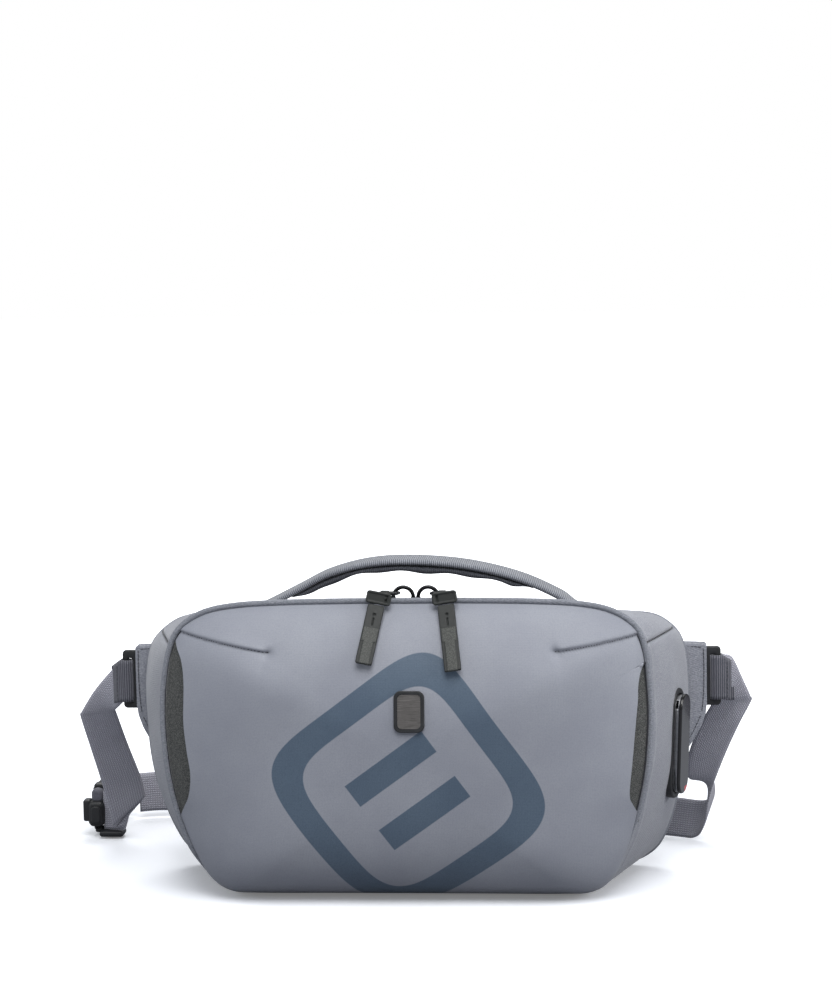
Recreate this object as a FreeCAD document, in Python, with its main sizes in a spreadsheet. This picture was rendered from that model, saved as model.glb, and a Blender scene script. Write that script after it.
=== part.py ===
import FreeCAD, Part
import math
import os

from FreeCAD import Placement, Rotation, Vector
import Sketcher

# A two-way carry body bag: a soft box worn on the waist or across the chest.
# Millimetres. +X is to the wearer's side seen from the front as right, +Y is the back, +Z is up.
# The origin is on the ground, under the middle of the bag's flat base.

doc = FreeCAD.newDocument("BodyBag")
sheet = doc.addObject("Spreadsheet::Sheet", "Dims")

DIMENSIONS = [
    # The bag's outline at its front seam and at its back seam. Each is a hexagon with round corners.
    ("seam_front_y", -28.0), ("seam_back_y", 48.0), ("face_y", -57.0),
    ("front_base_half", 113.0), ("front_knee_half", 138.0), ("front_top_half", 134.0), ("front_top_z", 168.5),
    ("back_base_half", 138.0), ("back_knee_half", 161.5), ("back_top_half", 158.0), ("back_top_z", 151.0),
    ("knee_z", 88.0), ("base_round", 24.0), ("knee_round", 120.0), ("front_top_round", 38.0),
    ("back_top_round", 22.0),
    # How far the front panel's outline draws in between its seam and its flat middle.
    ("bulge_side", 42.0), ("bulge_top", 70.0), ("bulge_base", 55.0), ("bulge_power", 1.5),
    # Fabric and padding.
    ("wall", 3.0), ("lining_gap", 5.2), ("lining_wall", 0.8), ("piping_r", 2.2), ("piping_proud", 0.5),
    ("piping_end_z", 16.0), ("base_trim", 0.3), ("corner_seam_x", 104.0), ("shoulder_seam_z", 140.0),
    ("ease", 0.2),
    ("insert_reach", 13.0), ("insert_low_z", 50.0), ("insert_high_z", 154.0), ("insert_round", 14.0),
    # The back.
    ("back_panel_thick", 3.0), ("foam_thick", 5.0), ("foam_inset", 9.0), ("pad_thick", 6.0),
    ("pad_inset", 15.0),
    # The zip, and the two sliders that meet in the middle of it.
    ("zip_y", -14.0), ("zip_half", 96.0), ("zip_half_width", 7.0), ("coil_half_width", 1.5),
    ("coil_thick", 2.0),
    ("tape_thick", 0.8), ("slider_long", 13.4), ("slider_wide", 10.0), ("slider_meet_x", 4.8),
    ("slider_plate", 1.6), ("bridge_major", 5.6), ("bridge_wire", 1.1), ("bridge_leg", 2.0),
    ("link_wire", 0.9), ("link_long", 17.0), ("link_wide", 11.0), ("link_tilt", 7.2), ("link_drop_x", 2.6),
    ("link_z", 171.9), ("link_back", 4.0), ("knuckle_r", 1.8), ("clip_wide", 14.0), ("clip_tall", 7.0),
    ("clip_thick", 2.2), ("knuckle_long", 5.0), ("tab_long", 35.0), ("tab_wide", 9.4), ("tab_thick", 2.0),
    ("tab_slope", 32.2), ("clip_shift_left", -4.2), ("clip_shift_right", 0.0),
    ("tab_lean_left", 11.5), ("tab_lean_right", -7.5),
    # The carry handle.
    ("handle_y", 15.0), ("handle_r", 145.0), ("handle_top_z", 189.2), ("handle_wide", 25.0),
    ("handle_thick", 2.6), ("handle_pad", 3.4), ("handle_pad_half", 72.0), ("handle_hinge_z", 168.5),
    ("handle_foot_r", 7.5), ("handle_patch", 14.0), ("handle_patch_x", 96.0),
    # The badge on the front panel.
    ("badge_x", 3.6), ("badge_y", -56.3), ("badge_z", 112.3), ("badge_wide", 17.0), ("badge_tall", 23.0),
    ("badge_tilt", 9.0), ("badge_thick", 3.0), ("badge_rim", 2.0), ("badge_recess", 0.9),
    # The tool and the dock on the right-hand side panel. The dock's own frame has x pointing out.
    ("dock_x", 146.6), ("dock_y", 20.0), ("dock_z", 79.0), ("dock_long", 64.0), ("dock_wide", 21.0),
    ("dock_thick", 5.0), ("dock_floor", 2.0), ("tool_long", 58.0), ("tool_wide", 17.4), ("tool_gap", 0.3),
    ("scale_thick", 1.9), ("frame_thick", 3.2), ("blade_thick", 1.2), ("blade_long", 46.0),
    ("blade_wide", 7.0), ("pivot_drop", 22.0), ("pivot_side", -1.0), ("pivot_r", 1.2),
    # The waist strap's hardware.
    ("wing_y", 54.0), ("strap_z", 111.0), ("hinge_x", 162.3), ("ring_x", 170.5), ("ring_wide", 13.0),
    ("ring_tall", 35.0), ("ring_bar_r", 2.0), ("webbing_thick", 1.6), ("webbing_wide", 25.0),
    ("buckle_x", -205.0), ("buckle_y", 113.0), ("buckle_z", 17.0), ("female_long", 31.0),
    ("buckle_half_wide", 15.5), ("buckle_half_thick", 5.5), ("male_base", 17.0), ("arm_long", 20.0),
]
for row, (alias, value) in enumerate(DIMENSIONS, start=1):
    sheet.set(f"A{row}", alias)
    sheet.set(f"B{row}", str(value))
    sheet.setAlias(f"B{row}", alias)
doc.recompute()

SIDES = {"left": -1, "right": 1}
nodes = {}


# ---------------------------------------------------------------- helpers

def dim(name):
    """A driving dimension's value."""
    return float(getattr(sheet, name))


def bind(expression):
    """Names of driving dimensions, written in braces, as references to the sheet."""
    return str(expression).replace("{", "Dims.").replace("}", "")


def value_of(expression):
    return float(sheet.evalExpression(bind(expression).replace("Dims.", "")))


def node(name, obj):
    """Declares a document object as a finished sub-part."""
    obj.Label = name
    nodes[name] = obj
    return obj


def put(obj, x="0", y="0", z="0", rotation=Rotation()):
    """Places an object at bound coordinates, turned by a rotation."""
    obj.Placement = Placement(Vector(), rotation)
    for letter, expression in zip("xyz", (x, y, z)):
        obj.setExpression(f".Placement.Base.{letter}", bind(expression))
    return obj


def bound(kind, name, **sizes):
    """A Part primitive whose sizes are bound to the sheet."""
    obj = doc.addObject(kind, name)
    for key, expression in sizes.items():
        obj.setExpression(key, bind(expression))
    return obj


def box(name, low, high):
    """A box between two bound corners."""
    length, width, height = (f"({b}) - ({a})" for a, b in zip(low, high))
    return put(bound("Part::Box", name, Length=length, Width=width, Height=height), *low)


def cylinder(name, radius, height, x="0", y="0", z="0", rotation=Rotation()):
    return put(bound("Part::Cylinder", name, Radius=radius, Height=height), x, y, z, rotation)


def cut(name, base, *tools):
    for index, tool in enumerate(tools):
        obj = doc.addObject("Part::Cut", f"{name}_{index}")
        obj.Base = base
        obj.Tool = tool
        base = obj
    return base


def common(name, base, tool):
    obj = doc.addObject("Part::Common", name)
    obj.Base = base
    obj.Tool = tool
    return obj


def fuse(name, *shapes):
    obj = doc.addObject("Part::MultiFuse", name)
    obj.Shapes = list(shapes)
    return obj


def draw(sketch, corners, closed=True):
    """Draws straight edges between bound corners (x, y, radius), and rounds those with a radius."""
    points = [Vector(value_of(x), value_of(y), 0) for x, y, _ in corners]
    count = len(points)
    edges = [sketch.addGeometry(Part.LineSegment(points[i], points[(i + 1) % count]), False)
             for i in range(count if closed else count - 1)]
    for i in range(len(edges) if closed else len(edges) - 1):
        sketch.addConstraint(Sketcher.Constraint("Coincident", edges[i], 2, edges[(i + 1) % len(edges)], 1))
    for i, corner in enumerate(corners):
        edge, end = (edges[i], 1) if i < len(edges) else (edges[-1], 2)
        for kind, expression in zip(("DistanceX", "DistanceY"), corner):
            index = sketch.addConstraint(
                Sketcher.Constraint(kind, -1, 1, edge, end, value_of(expression)))
            sketch.setExpression(f"Constraints[{index}]", bind(expression))
    for i, (_, _, radius) in enumerate(corners):
        if radius is None:
            continue
        before = (points[i - 1] + points[i]) * 0.5
        after = (points[i] + points[(i + 1) % count]) * 0.5
        sketch.fillet(edges[i - 1], edges[i], before, after, value_of(radius), True, True)
        arc = max(j for j, g in enumerate(sketch.Geometry) if isinstance(g, Part.ArcOfCircle))
        index = sketch.addConstraint(Sketcher.Constraint("Radius", arc, value_of(radius)))
        sketch.setExpression(f"Constraints[{index}]", bind(radius))
    return sketch


UPRIGHT = Rotation(Vector(1, 0, 0), 90)                     # a sketch's plane becomes X-Z, facing -Y
SIDEWAYS = Rotation(Vector(1, 1, 1), 120)                   # a sketch's plane becomes Y-Z, facing +X


def outline(name, corners, y, closed=True):
    """A free sketch in an upright plane at depth y."""
    sketch = doc.addObject("Sketcher::SketchObject", name)
    draw(sketch, corners, closed)
    return put(sketch, y=y, rotation=UPRIGHT)


def extrude(name, sketch, length, direction):
    obj = doc.addObject("Part::Extrusion", name)
    obj.Base = sketch
    obj.DirMode = "Custom"
    obj.Dir = direction
    obj.Solid = True
    obj.setExpression("LengthFwd", bind(length))
    return obj


def loft(name, sections, ruled):
    obj = doc.addObject("Part::Loft", name)
    obj.Sections = sections
    obj.Solid = True
    obj.Ruled = ruled
    return obj


def plate(name, plane, low, thick, corners, edge_round=None):
    """A PartDesign body: one sketch on an origin plane, raised by low and padded by thick."""
    body = doc.addObject("PartDesign::Body", name)
    sketch = body.newObject("Sketcher::SketchObject", f"{name}_sketch")
    origin_plane = next(o for o in body.Origin.OriginFeatures if o.Role == plane)
    sketch.AttachmentSupport = [(origin_plane, "")]
    sketch.MapMode = "FlatFace"
    sketch.setExpression(".AttachmentOffset.Base.z", bind(low))
    draw(sketch, corners)
    pad = body.newObject("PartDesign::Pad", f"{name}_pad")
    pad.Profile = sketch
    pad.setExpression("Length", bind(thick))
    doc.recompute()
    if edge_round:
        top = max(range(len(pad.Shape.Faces)), key=lambda i: face_height(pad.Shape.Faces[i], plane))
        fillet = body.newObject("PartDesign::Fillet", f"{name}_round")
        fillet.Base = (pad, [f"Face{top + 1}"])
        fillet.setExpression("Radius", bind(edge_round))
        doc.recompute()
    return body


def face_height(face, plane):
    """A face's height above its body's plane, for faces that lie parallel to it."""
    normal = {"XY_Plane": Vector(0, 0, 1), "XZ_Plane": Vector(0, -1, 0), "YZ_Plane": Vector(1, 0, 0)}[plane]
    spread = [vertex.Point.dot(normal) for vertex in face.Vertexes]
    return sum(spread) / len(spread) if max(spread) - min(spread) < 1e-6 else -math.inf


def rounded(half_x, half_y, radius, x="0", y="0"):
    """Corners of a rounded rectangle."""
    return [(f"({x}) + {sx} * ({half_x})", f"({y}) + {sy} * ({half_y})", radius)
            for sx, sy in ((-1, -1), (1, -1), (1, 1), (-1, 1))]


def ribbon(name, stations):
    """A strip of webbing through stations, each a pair of opposite edge points."""
    thick = dim("webbing_thick")
    pairs = [(Vector(*a), Vector(*b)) for a, b in stations]
    middles = [(a + b) * 0.5 for a, b in pairs]
    wires = []
    for i, (a, b) in enumerate(pairs):
        along = middles[min(i + 1, len(pairs) - 1)] - middles[max(i - 1, 0)]
        normal = (b - a).cross(along).normalize() * (thick / 2)
        wires.append(Part.makePolygon([a + normal, b + normal, b - normal, a - normal, a + normal]))
    obj = doc.addObject("Part::Feature", name)
    obj.Shape = Part.makeLoft(wires, True, True)
    return obj


# ---------------------------------------------------------------- the bag's soft box

def hexagon(base_half, knee_half, top_half, base_z, top_z, top_round, shrink="1", knee_z="{knee_z}"):
    """A bag outline: a flat base, sides that lean out to a knee and in again, a flat top."""
    base_round = f"{{base_round}} * ({shrink})"
    knee_round = f"{{knee_round}} * ({shrink})"
    top_round = f"({top_round}) * ({shrink})"
    return [(f"-({base_half})", base_z, base_round), (base_half, base_z, base_round),
            (knee_half, knee_z, knee_round), (top_half, top_z, top_round),
            (f"-({top_half})", top_z, top_round), (f"-({knee_half})", knee_z, knee_round)]


def gusset_outline(name, y, inset):
    """The box's outline at depth y, between its two seams, drawn in by inset."""
    part = f"((({y}) - {{seam_front_y}}) / ({{seam_back_y}} - {{seam_front_y}}))"

    def mix(name_front, name_back):
        return f"{{{name_front}}} + {part} * ({{{name_back}}} - {{{name_front}}})"

    return outline(name, hexagon(
        mix("front_base_half", "back_base_half") + f" - ({inset})",
        mix("front_knee_half", "back_knee_half") + f" - ({inset})",
        mix("front_top_half", "back_top_half") + f" - ({inset})",
        f"({inset}) - {{base_trim}}", mix("front_top_z", "back_top_z") + f" - ({inset})",
        mix("front_top_round", "back_top_round")), y)


def gusset_block(name, low_y, high_y, inset):
    return loft(name, [gusset_outline(f"{name}_front", low_y, inset),
                       gusset_outline(f"{name}_back", high_y, inset)], True)


BULGE_STEPS = (0.0, 0.3, 0.6, 0.82, 0.95, 1.0)


def bulge_block(name, inset):
    """The front panel's pillow: outlines that draw in faster and faster towards the face."""
    sections = []
    for index, step in enumerate(BULGE_STEPS):
        drawn_in = f"(1 - (1 - {step} ^ {{bulge_power}}) ^ (1 / {{bulge_power}}))"
        side = f"{{bulge_side}} * {drawn_in} + ({inset})"
        corners = hexagon(f"{{front_base_half}} - ({side})", f"{{front_knee_half}} - ({side})",
                          f"{{front_top_half}} - ({side})", f"{{bulge_base}} * {drawn_in} + ({inset})",
                          f"{{front_top_z}} - {{bulge_top}} * {drawn_in} - ({inset})",
                          "{front_top_round}", f"1 - 0.93 * {step}", f"{{knee_z}} - 10 * {step}")
        depth = f"{{seam_front_y}} + {step} * ({{face_y}} + ({inset}) - {{seam_front_y}})"
        sections.append(outline(f"{name}_{index}", corners, depth))
    return loft(name, sections, False)


def front_piping():
    """A cord along the front seam, up one side, over the top and down the other."""
    lean = ("({front_base_half} + {piping_proud} + ({front_knee_half} - {front_base_half})"
            " * {piping_end_z} / {knee_z})")
    knee = "({front_knee_half} + {piping_proud})"
    top = "({front_top_half} + {piping_proud})"
    top_z = "{front_top_z} + {piping_proud}"
    path = outline("piping_path", [
        (f"-{lean}", "{piping_end_z}", None), (f"-{knee}", "{knee_z}", "{knee_round}"),
        (f"-{top}", top_z, "{front_top_round}"), (top, top_z, "{front_top_round}"),
        (knee, "{knee_z}", "{knee_round}"), (lean, "{piping_end_z}", None)], "{seam_front_y}", closed=False)
    doc.recompute()
    profile = bound("Part::Circle", "piping_profile", Radius="{piping_r}")
    rising = Vector(-(dim("front_knee_half") - dim("front_base_half")), 0, dim("knee_z"))
    put(profile, f"-{lean}", "{seam_front_y}", "{piping_end_z}", Rotation(Vector(0, 0, 1), rising))
    sweep = doc.addObject("Part::Sweep", "front_piping_sweep")
    sweep.Sections = [profile]
    sweep.Spine = (path, [f"Edge{i + 1}" for i in range(len(path.Shape.Edges))])
    sweep.Solid = True
    return sweep


def insert_prism(side):
    """The lens-shaped window beside the front panel's free edge, as a cutter across one side."""
    sketch = doc.addObject("Sketcher::SketchObject", f"insert_window_{side}")
    front = "{seam_front_y} - {insert_reach}"
    back = "{seam_front_y} + 1"
    draw(sketch, [(back, "{insert_low_z} - 4", None), (back, "{insert_high_z} + 4", None),
                  (front, "{insert_high_z} - 14", "{insert_round}"),
                  (front, "{insert_low_z} + 14", "{insert_round}")])
    put(sketch, f"{SIDES[side]} * 100", rotation=SIDEWAYS)
    return extrude(f"insert_cutter_{side}", sketch, "60", Vector(SIDES[side], 0, 0))


# ---------------------------------------------------------------- the zip's frame

SLOPE = -math.degrees(math.atan2(dim("front_top_z") - dim("back_top_z"),
                                 dim("seam_back_y") - dim("seam_front_y")))
ZIP_TURN = Rotation(Vector(1, 0, 0), SLOPE)
ZIP_SURFACE = ("{front_top_z} - ({zip_y} - {seam_front_y}) * ({front_top_z} - {back_top_z})"
               " / ({seam_back_y} - {seam_front_y})")


def zip_box(name, low, high):
    """A box in the zip's frame: x along the zip, y down the slope to the back, z off the fabric."""
    length, width, height = (f"({b}) - ({a})" for a, b in zip(low, high))
    obj = bound("Part::Box", name, Length=length, Width=width, Height=height)
    cosine, sine = math.cos(math.radians(SLOPE)), math.sin(math.radians(SLOPE))
    return put(obj, low[0], f"{{zip_y}} + ({low[1]}) * {cosine:.6f} - ({low[2]}) * ({sine:.6f})",
               f"{ZIP_SURFACE} + ({low[1]}) * ({sine:.6f}) + ({low[2]}) * {cosine:.6f}", ZIP_TURN)


def build_zip():
    tape_low, tape_high = "-0.4 - {tape_thick}", "-0.4"
    node("zip_tape_front", zip_box("tape_front", ("-{zip_half}", "-{zip_half_width}", tape_low),
                                   ("{zip_half}", "-{coil_half_width} - 0.1", tape_high)))
    node("zip_tape_rear", zip_box("tape_rear", ("-{zip_half}", "{coil_half_width} + 0.1", tape_low),
                                  ("{zip_half}", "{zip_half_width}", tape_high)))
    coil = zip_box("coil_bar", ("-{zip_half} + 3", "-{coil_half_width}", "0.5 - {coil_thick}"),
                   ("{zip_half} - 3", "{coil_half_width}", "0.5"))
    node("zip_coil", coil)
    stops = [zip_box(f"end_stop_{side}", (f"{SIDES[side]} * ({{zip_half}} - 1.5) - 1", "-3", "-0.3"),
                     (f"{SIDES[side]} * ({{zip_half}} - 1.5) + 1", "3", "1.2")) for side in SIDES]
    node("zip_end_stops", fuse("end_stops", *stops))


def build_slider(side):
    """A slider: a plate over the coil with two rails, and an arched bridge for the puller's link."""
    sign = SIDES[side]
    middle = f"{{slider_meet_x}} + {sign} * ({{slider_long}} / 2 + 0.3)"
    half = "{slider_long} / 2"
    plate_low = "0.75"
    plate_high = f"{plate_low} + {{slider_plate}}"
    plate_part = zip_box(f"slider_plate_{side}", (f"{middle} - {half}", "-{slider_wide} / 2", plate_low),
                         (f"{middle} + {half}", "{slider_wide} / 2", plate_high))
    rails = [zip_box(f"slider_rail_{side}_{index}", (f"{middle} - {half} + 1", low, "-0.2"),
                     (f"{middle} + {half} - 1", high, "1"))
             for index, (low, high) in enumerate((("-{slider_wide} / 2", "-{slider_wide} / 2 + 2"),
                                                  ("{slider_wide} / 2 - 2", "{slider_wide} / 2")))]
    arch_z = "{link_z} - 2.3"
    torus = bound("Part::Torus", f"bridge_ring_{side}", Radius1="{bridge_major}", Radius2="{bridge_wire}")
    put(torus, middle, "{zip_y}", arch_z, UPRIGHT)
    upper = box(f"bridge_keep_{side}", (f"{middle} - 10", "{zip_y} - 5", arch_z),
                (f"{middle} + 10", "{zip_y} + 5", f"{arch_z} + 10"))
    arch = common(f"bridge_arch_{side}", torus, upper)
    legs = [cylinder(f"bridge_leg_{side}_{index}", "{bridge_wire} + 0.25", "{bridge_leg} + 1.2",
                     f"{middle} + {end} * {{bridge_major}}", "{zip_y}", f"{arch_z} - {{bridge_leg}} - 1")
            for index, end in enumerate((-1, 1))]
    node(f"zip_slider_{side}", fuse(f"slider_{side}", plate_part, *rails, arch, *legs))
    return middle


def build_puller(side, middle):
    """The wire link through the bridge, the clip on the link's front bar, and the rubber tab."""
    sign = SIDES[side]
    tilt = Rotation(Vector(1, 0, 0), -dim("link_tilt"))
    near = f"({middle}) + {sign} * {{link_drop_x}}"         # the link's bar that runs through the bridge
    far = f"({near}) + {sign} * {{link_wide}}"
    body = doc.addObject("PartDesign::Body", f"link_{side}")
    sketch = body.newObject("Sketcher::SketchObject", f"link_path_{side}")
    sketch.AttachmentSupport = [(next(o for o in body.Origin.OriginFeatures if o.Role == "XY_Plane"), "")]
    sketch.MapMode = "FlatFace"
    low, high = ("0", "{link_wide}") if sign > 0 else ("-{link_wide}", "0")
    draw(sketch, [(low, "-{link_long} + {link_back}", "2"), (high, "-{link_long} + {link_back}", "2"),
                  (high, "{link_back}", "2"), (low, "{link_back}", "2")])
    ring = body.newObject("Sketcher::SketchObject", f"link_profile_{side}")
    ring.AttachmentSupport = [(next(o for o in body.Origin.OriginFeatures if o.Role == "XZ_Plane"), "")]
    ring.MapMode = "FlatFace"
    circle = ring.addGeometry(Part.Circle(Vector(), Vector(0, 0, 1), dim("link_wire")), False)
    ring.addConstraint(Sketcher.Constraint("Coincident", circle, 3, -1, 1))
    index = ring.addConstraint(Sketcher.Constraint("Radius", circle, dim("link_wire")))
    ring.setExpression(f"Constraints[{index}]", bind("{link_wire}"))
    pipe = body.newObject("PartDesign::AdditivePipe", f"link_wire_{side}")
    pipe.Profile = ring
    pipe.Spine = (sketch, [f"Edge{i + 1}" for i in range(8)])
    doc.recompute()
    put(body, near, "{zip_y}", "{link_z}", tilt)
    node(f"pull_link_{side}", body)

    # The clip hangs on the link's front bar: a knuckle round the bar and a plate in front of the piping.
    turned = tilt.multVec(Vector(0, dim("link_back") - dim("link_long"), 0))
    bar_y, bar_z = dim("zip_y") + turned.y, dim("link_z") + turned.z
    centre = f"(({near}) + ({far})) / 2"
    along_x = Rotation(Vector(0, 1, 0), 90)
    knuckle_x = f"{centre} + {sign} - {{knuckle_long}} / 2"
    knuckle = cylinder(f"knuckle_{side}", "{knuckle_r}", "{knuckle_long}", knuckle_x, bar_y, bar_z, along_x)
    bore = cylinder(f"knuckle_bore_{side}", "{link_wire} + 0.08", "{link_wide}",
                    f"{centre} - {{link_wide}} / 2", bar_y, bar_z, along_x)
    neck = box(f"clip_neck_{side}", (knuckle_x, f"{bar_y} - 4.6", f"{bar_z} - 1.2"),
               (f"{knuckle_x} + {{knuckle_long}}", f"{bar_y} - 0.5", f"{bar_z} + 1.2"))
    face = plate(f"clip_face_{side}", "XZ_Plane", "0", "{clip_thick}",
                 rounded("{clip_wide} / 2", "{clip_tall} / 2", "1.4"), "0.5")
    hang_x = f"{centre} + {{clip_shift_{side}}}"
    lean = Rotation(Vector(0, 1, 0), dim(f"tab_lean_{side}"))
    put(face, hang_x, f"{bar_y} - 4", f"{bar_z} - {{clip_tall}} / 2 + 1.6",
        lean.multiply(Rotation(Vector(1, 0, 0), -14)))
    node(f"pull_clip_{side}", cut(f"clip_{side}", fuse(f"clip_solid_{side}", knuckle, neck, face), bore))

    # The tab follows the front panel's slope, a little clear of it.
    tab = plate(f"tab_blank_{side}", "XZ_Plane", "0", "{tab_thick}", [
        ("-{tab_wide} / 2", "0", None), ("-{tab_wide} / 2 + 0.3", "-{tab_long}", "0.8"),
        ("{tab_wide} / 2 - 0.3", "-{tab_long}", "0.8"), ("{tab_wide} / 2", "0", None)], "0.5")
    put(tab, f"{hang_x} - {{tab_lean_{side}}} * 0.1", f"{bar_y} - 6.2", f"{bar_z} - {{clip_tall}} + 1.2",
        lean.multiply(Rotation(Vector(1, 0, 0), -dim("tab_slope"))))
    node(f"pull_tab_{side}", tab)


# ---------------------------------------------------------------- the handle

def build_handle():
    """An arched strip of webbing with a soft layer under it, and its two sewn-down patches."""
    centre_z = "{handle_top_z} - {handle_r}"
    along_y = Rotation(Vector(1, 0, 0), -90)
    start_y = "{handle_y} - {handle_wide} / 2"

    def drum(name, radius):
        return cylinder(name, radius, "{handle_wide}", "0", start_y, centre_z, along_y)

    keep = box("handle_keep", ("-{handle_r}", "{handle_y} - 30", "{handle_hinge_z}"),
               ("{handle_r}", "{handle_y} + 30", "{handle_top_z} + 5"))
    foot = cylinder("handle_foot", "{handle_foot_r}", "2 * {handle_r}", "-{handle_r}", "{handle_y}",
                    "{handle_hinge_z}", Rotation(Vector(0, 1, 0), 90))
    zone = fuse("handle_zone", keep, foot)
    strip = cut("handle_strip", drum("handle_outer", "{handle_r}"),
                drum("handle_inner", "{handle_r} - {handle_thick}"))
    node("handle_webbing", common("handle_webbing_solid", strip, zone))
    under = cut("handle_under", drum("handle_pad_outer", "{handle_r} - {handle_thick}"),
                drum("handle_pad_inner", "{handle_r} - {handle_thick} - {handle_pad}"))
    pad_zone = box("handle_pad_zone", ("-{handle_pad_half}", "{handle_y} - 10", "{handle_hinge_z}"),
                   ("{handle_pad_half}", "{handle_y} + 10", "{handle_top_z}"))
    node("handle_padding", common("handle_padding_solid", under, pad_zone))
    for side, sign in SIDES.items():
        middle = f"{sign} * {{handle_patch_x}}"
        across = "{handle_y} - {zip_y}"
        patch = zip_box(f"handle_patch_{side}",
                        (f"{middle} - {{handle_patch}} / 2", f"{across} - {{handle_wide}} / 2", "0"),
                        (f"{middle} + {{handle_patch}} / 2", f"{across} + {{handle_wide}} / 2", "1.4"))
        node(f"handle_patch_{side}", patch)


# ---------------------------------------------------------------- the badge

def build_badge():
    """A rimmed plate let into the front panel, with a washer behind the fabric."""
    turn = Rotation(Vector(1, 0, 0), -dim("badge_tilt"))
    place = ("{badge_x}", "{badge_y}", "{badge_z}", turn)
    half_wide, half_tall = "{badge_wide} / 2", "{badge_tall} / 2"
    blank = plate("bezel_blank", "XZ_Plane", "0 - 1.6", "{badge_thick}",
                  rounded(half_wide, half_tall, "4"), "0.6")
    recess = plate("bezel_recess", "XZ_Plane", "{badge_thick} - 1.6 - {badge_recess}", "{badge_recess} + 1",
                   rounded(f"{half_wide} - {{badge_rim}}", f"{half_tall} - {{badge_rim}}", "2.6"))
    bezel = cut("bezel", blank, recess)
    insert = plate("badge_insert", "XZ_Plane", "{badge_thick} - 1.6 - {badge_recess}", "{badge_recess} - 0.3",
                   rounded(f"{half_wide} - {{badge_rim}} - 0.1", f"{half_tall} - {{badge_rim}} - 0.1", "2.5"))
    washer = plate("badge_backing_blank", "XZ_Plane", "-1.8 - {wall} - 1", "0.8",
                   rounded(f"{half_wide} - 1", f"{half_tall} - 1", "3"))
    envelope = plate("badge_envelope", "XZ_Plane", "-1.6", "8", rounded(half_wide, half_tall, "4"))
    for obj in (bezel, insert, washer, envelope):
        put(obj, *place)
    node("badge_bezel", bezel)
    node("badge_plate", insert)
    node("badge_backing", washer)
    return envelope


# ---------------------------------------------------------------- the tool and its dock

DOCK_TURN = Rotation(-17.5, 2.2, 0.0)                       # yaw to the side panel's slant, pitch to its lean


def dock_put(obj):
    return put(obj, "{dock_x}", "{dock_y}", "{dock_z}", DOCK_TURN)


def round_ended(name, long, wide, low, thick, edge_round=None):
    """A plate with half-round ends, flat against the dock's frame."""
    return plate(name, "YZ_Plane", low, thick, rounded(f"({wide}) / 2", f"({long}) / 2", f"({wide}) * 0.48"),
                 edge_round)


def build_dock():
    outer = round_ended("dock_outer", "{dock_long}", "{dock_wide}", "0", "{dock_thick}", "1")
    recess = round_ended("dock_recess", "{tool_long} + 2 * {tool_gap}", "{tool_wide} + 2 * {tool_gap}",
                         "{dock_floor}", "{dock_thick}")
    pockets = [put(bound("Part::Cylinder", f"magnet_pocket_{i}", Radius="5.05", Height="1.4"), "-0.1", "0",
                   f"{level} * 16", Rotation(Vector(0, 1, 0), 90)) for i, level in enumerate((-1, 1))]
    magnets = [put(bound("Part::Cylinder", f"magnet_{i}", Radius="5", Height="1.2"), "0", "0",
                   f"{level} * 16", Rotation(Vector(0, 1, 0), 90)) for i, level in enumerate((-1, 1))]
    node("tool_dock", dock_put(cut("dock", outer, recess, *pockets)))
    node("dock_magnets", dock_put(fuse("magnets", *magnets)))
    node("dock_backing", dock_put(round_ended("dock_backing_blank", "{dock_long} - 12", "{dock_wide} - 6",
                                              "-0.6", "0.45")))
    return dock_put(round_ended("dock_envelope", "{dock_long} + 0.2", "{dock_wide} + 0.2", "-8", "20"))


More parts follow.
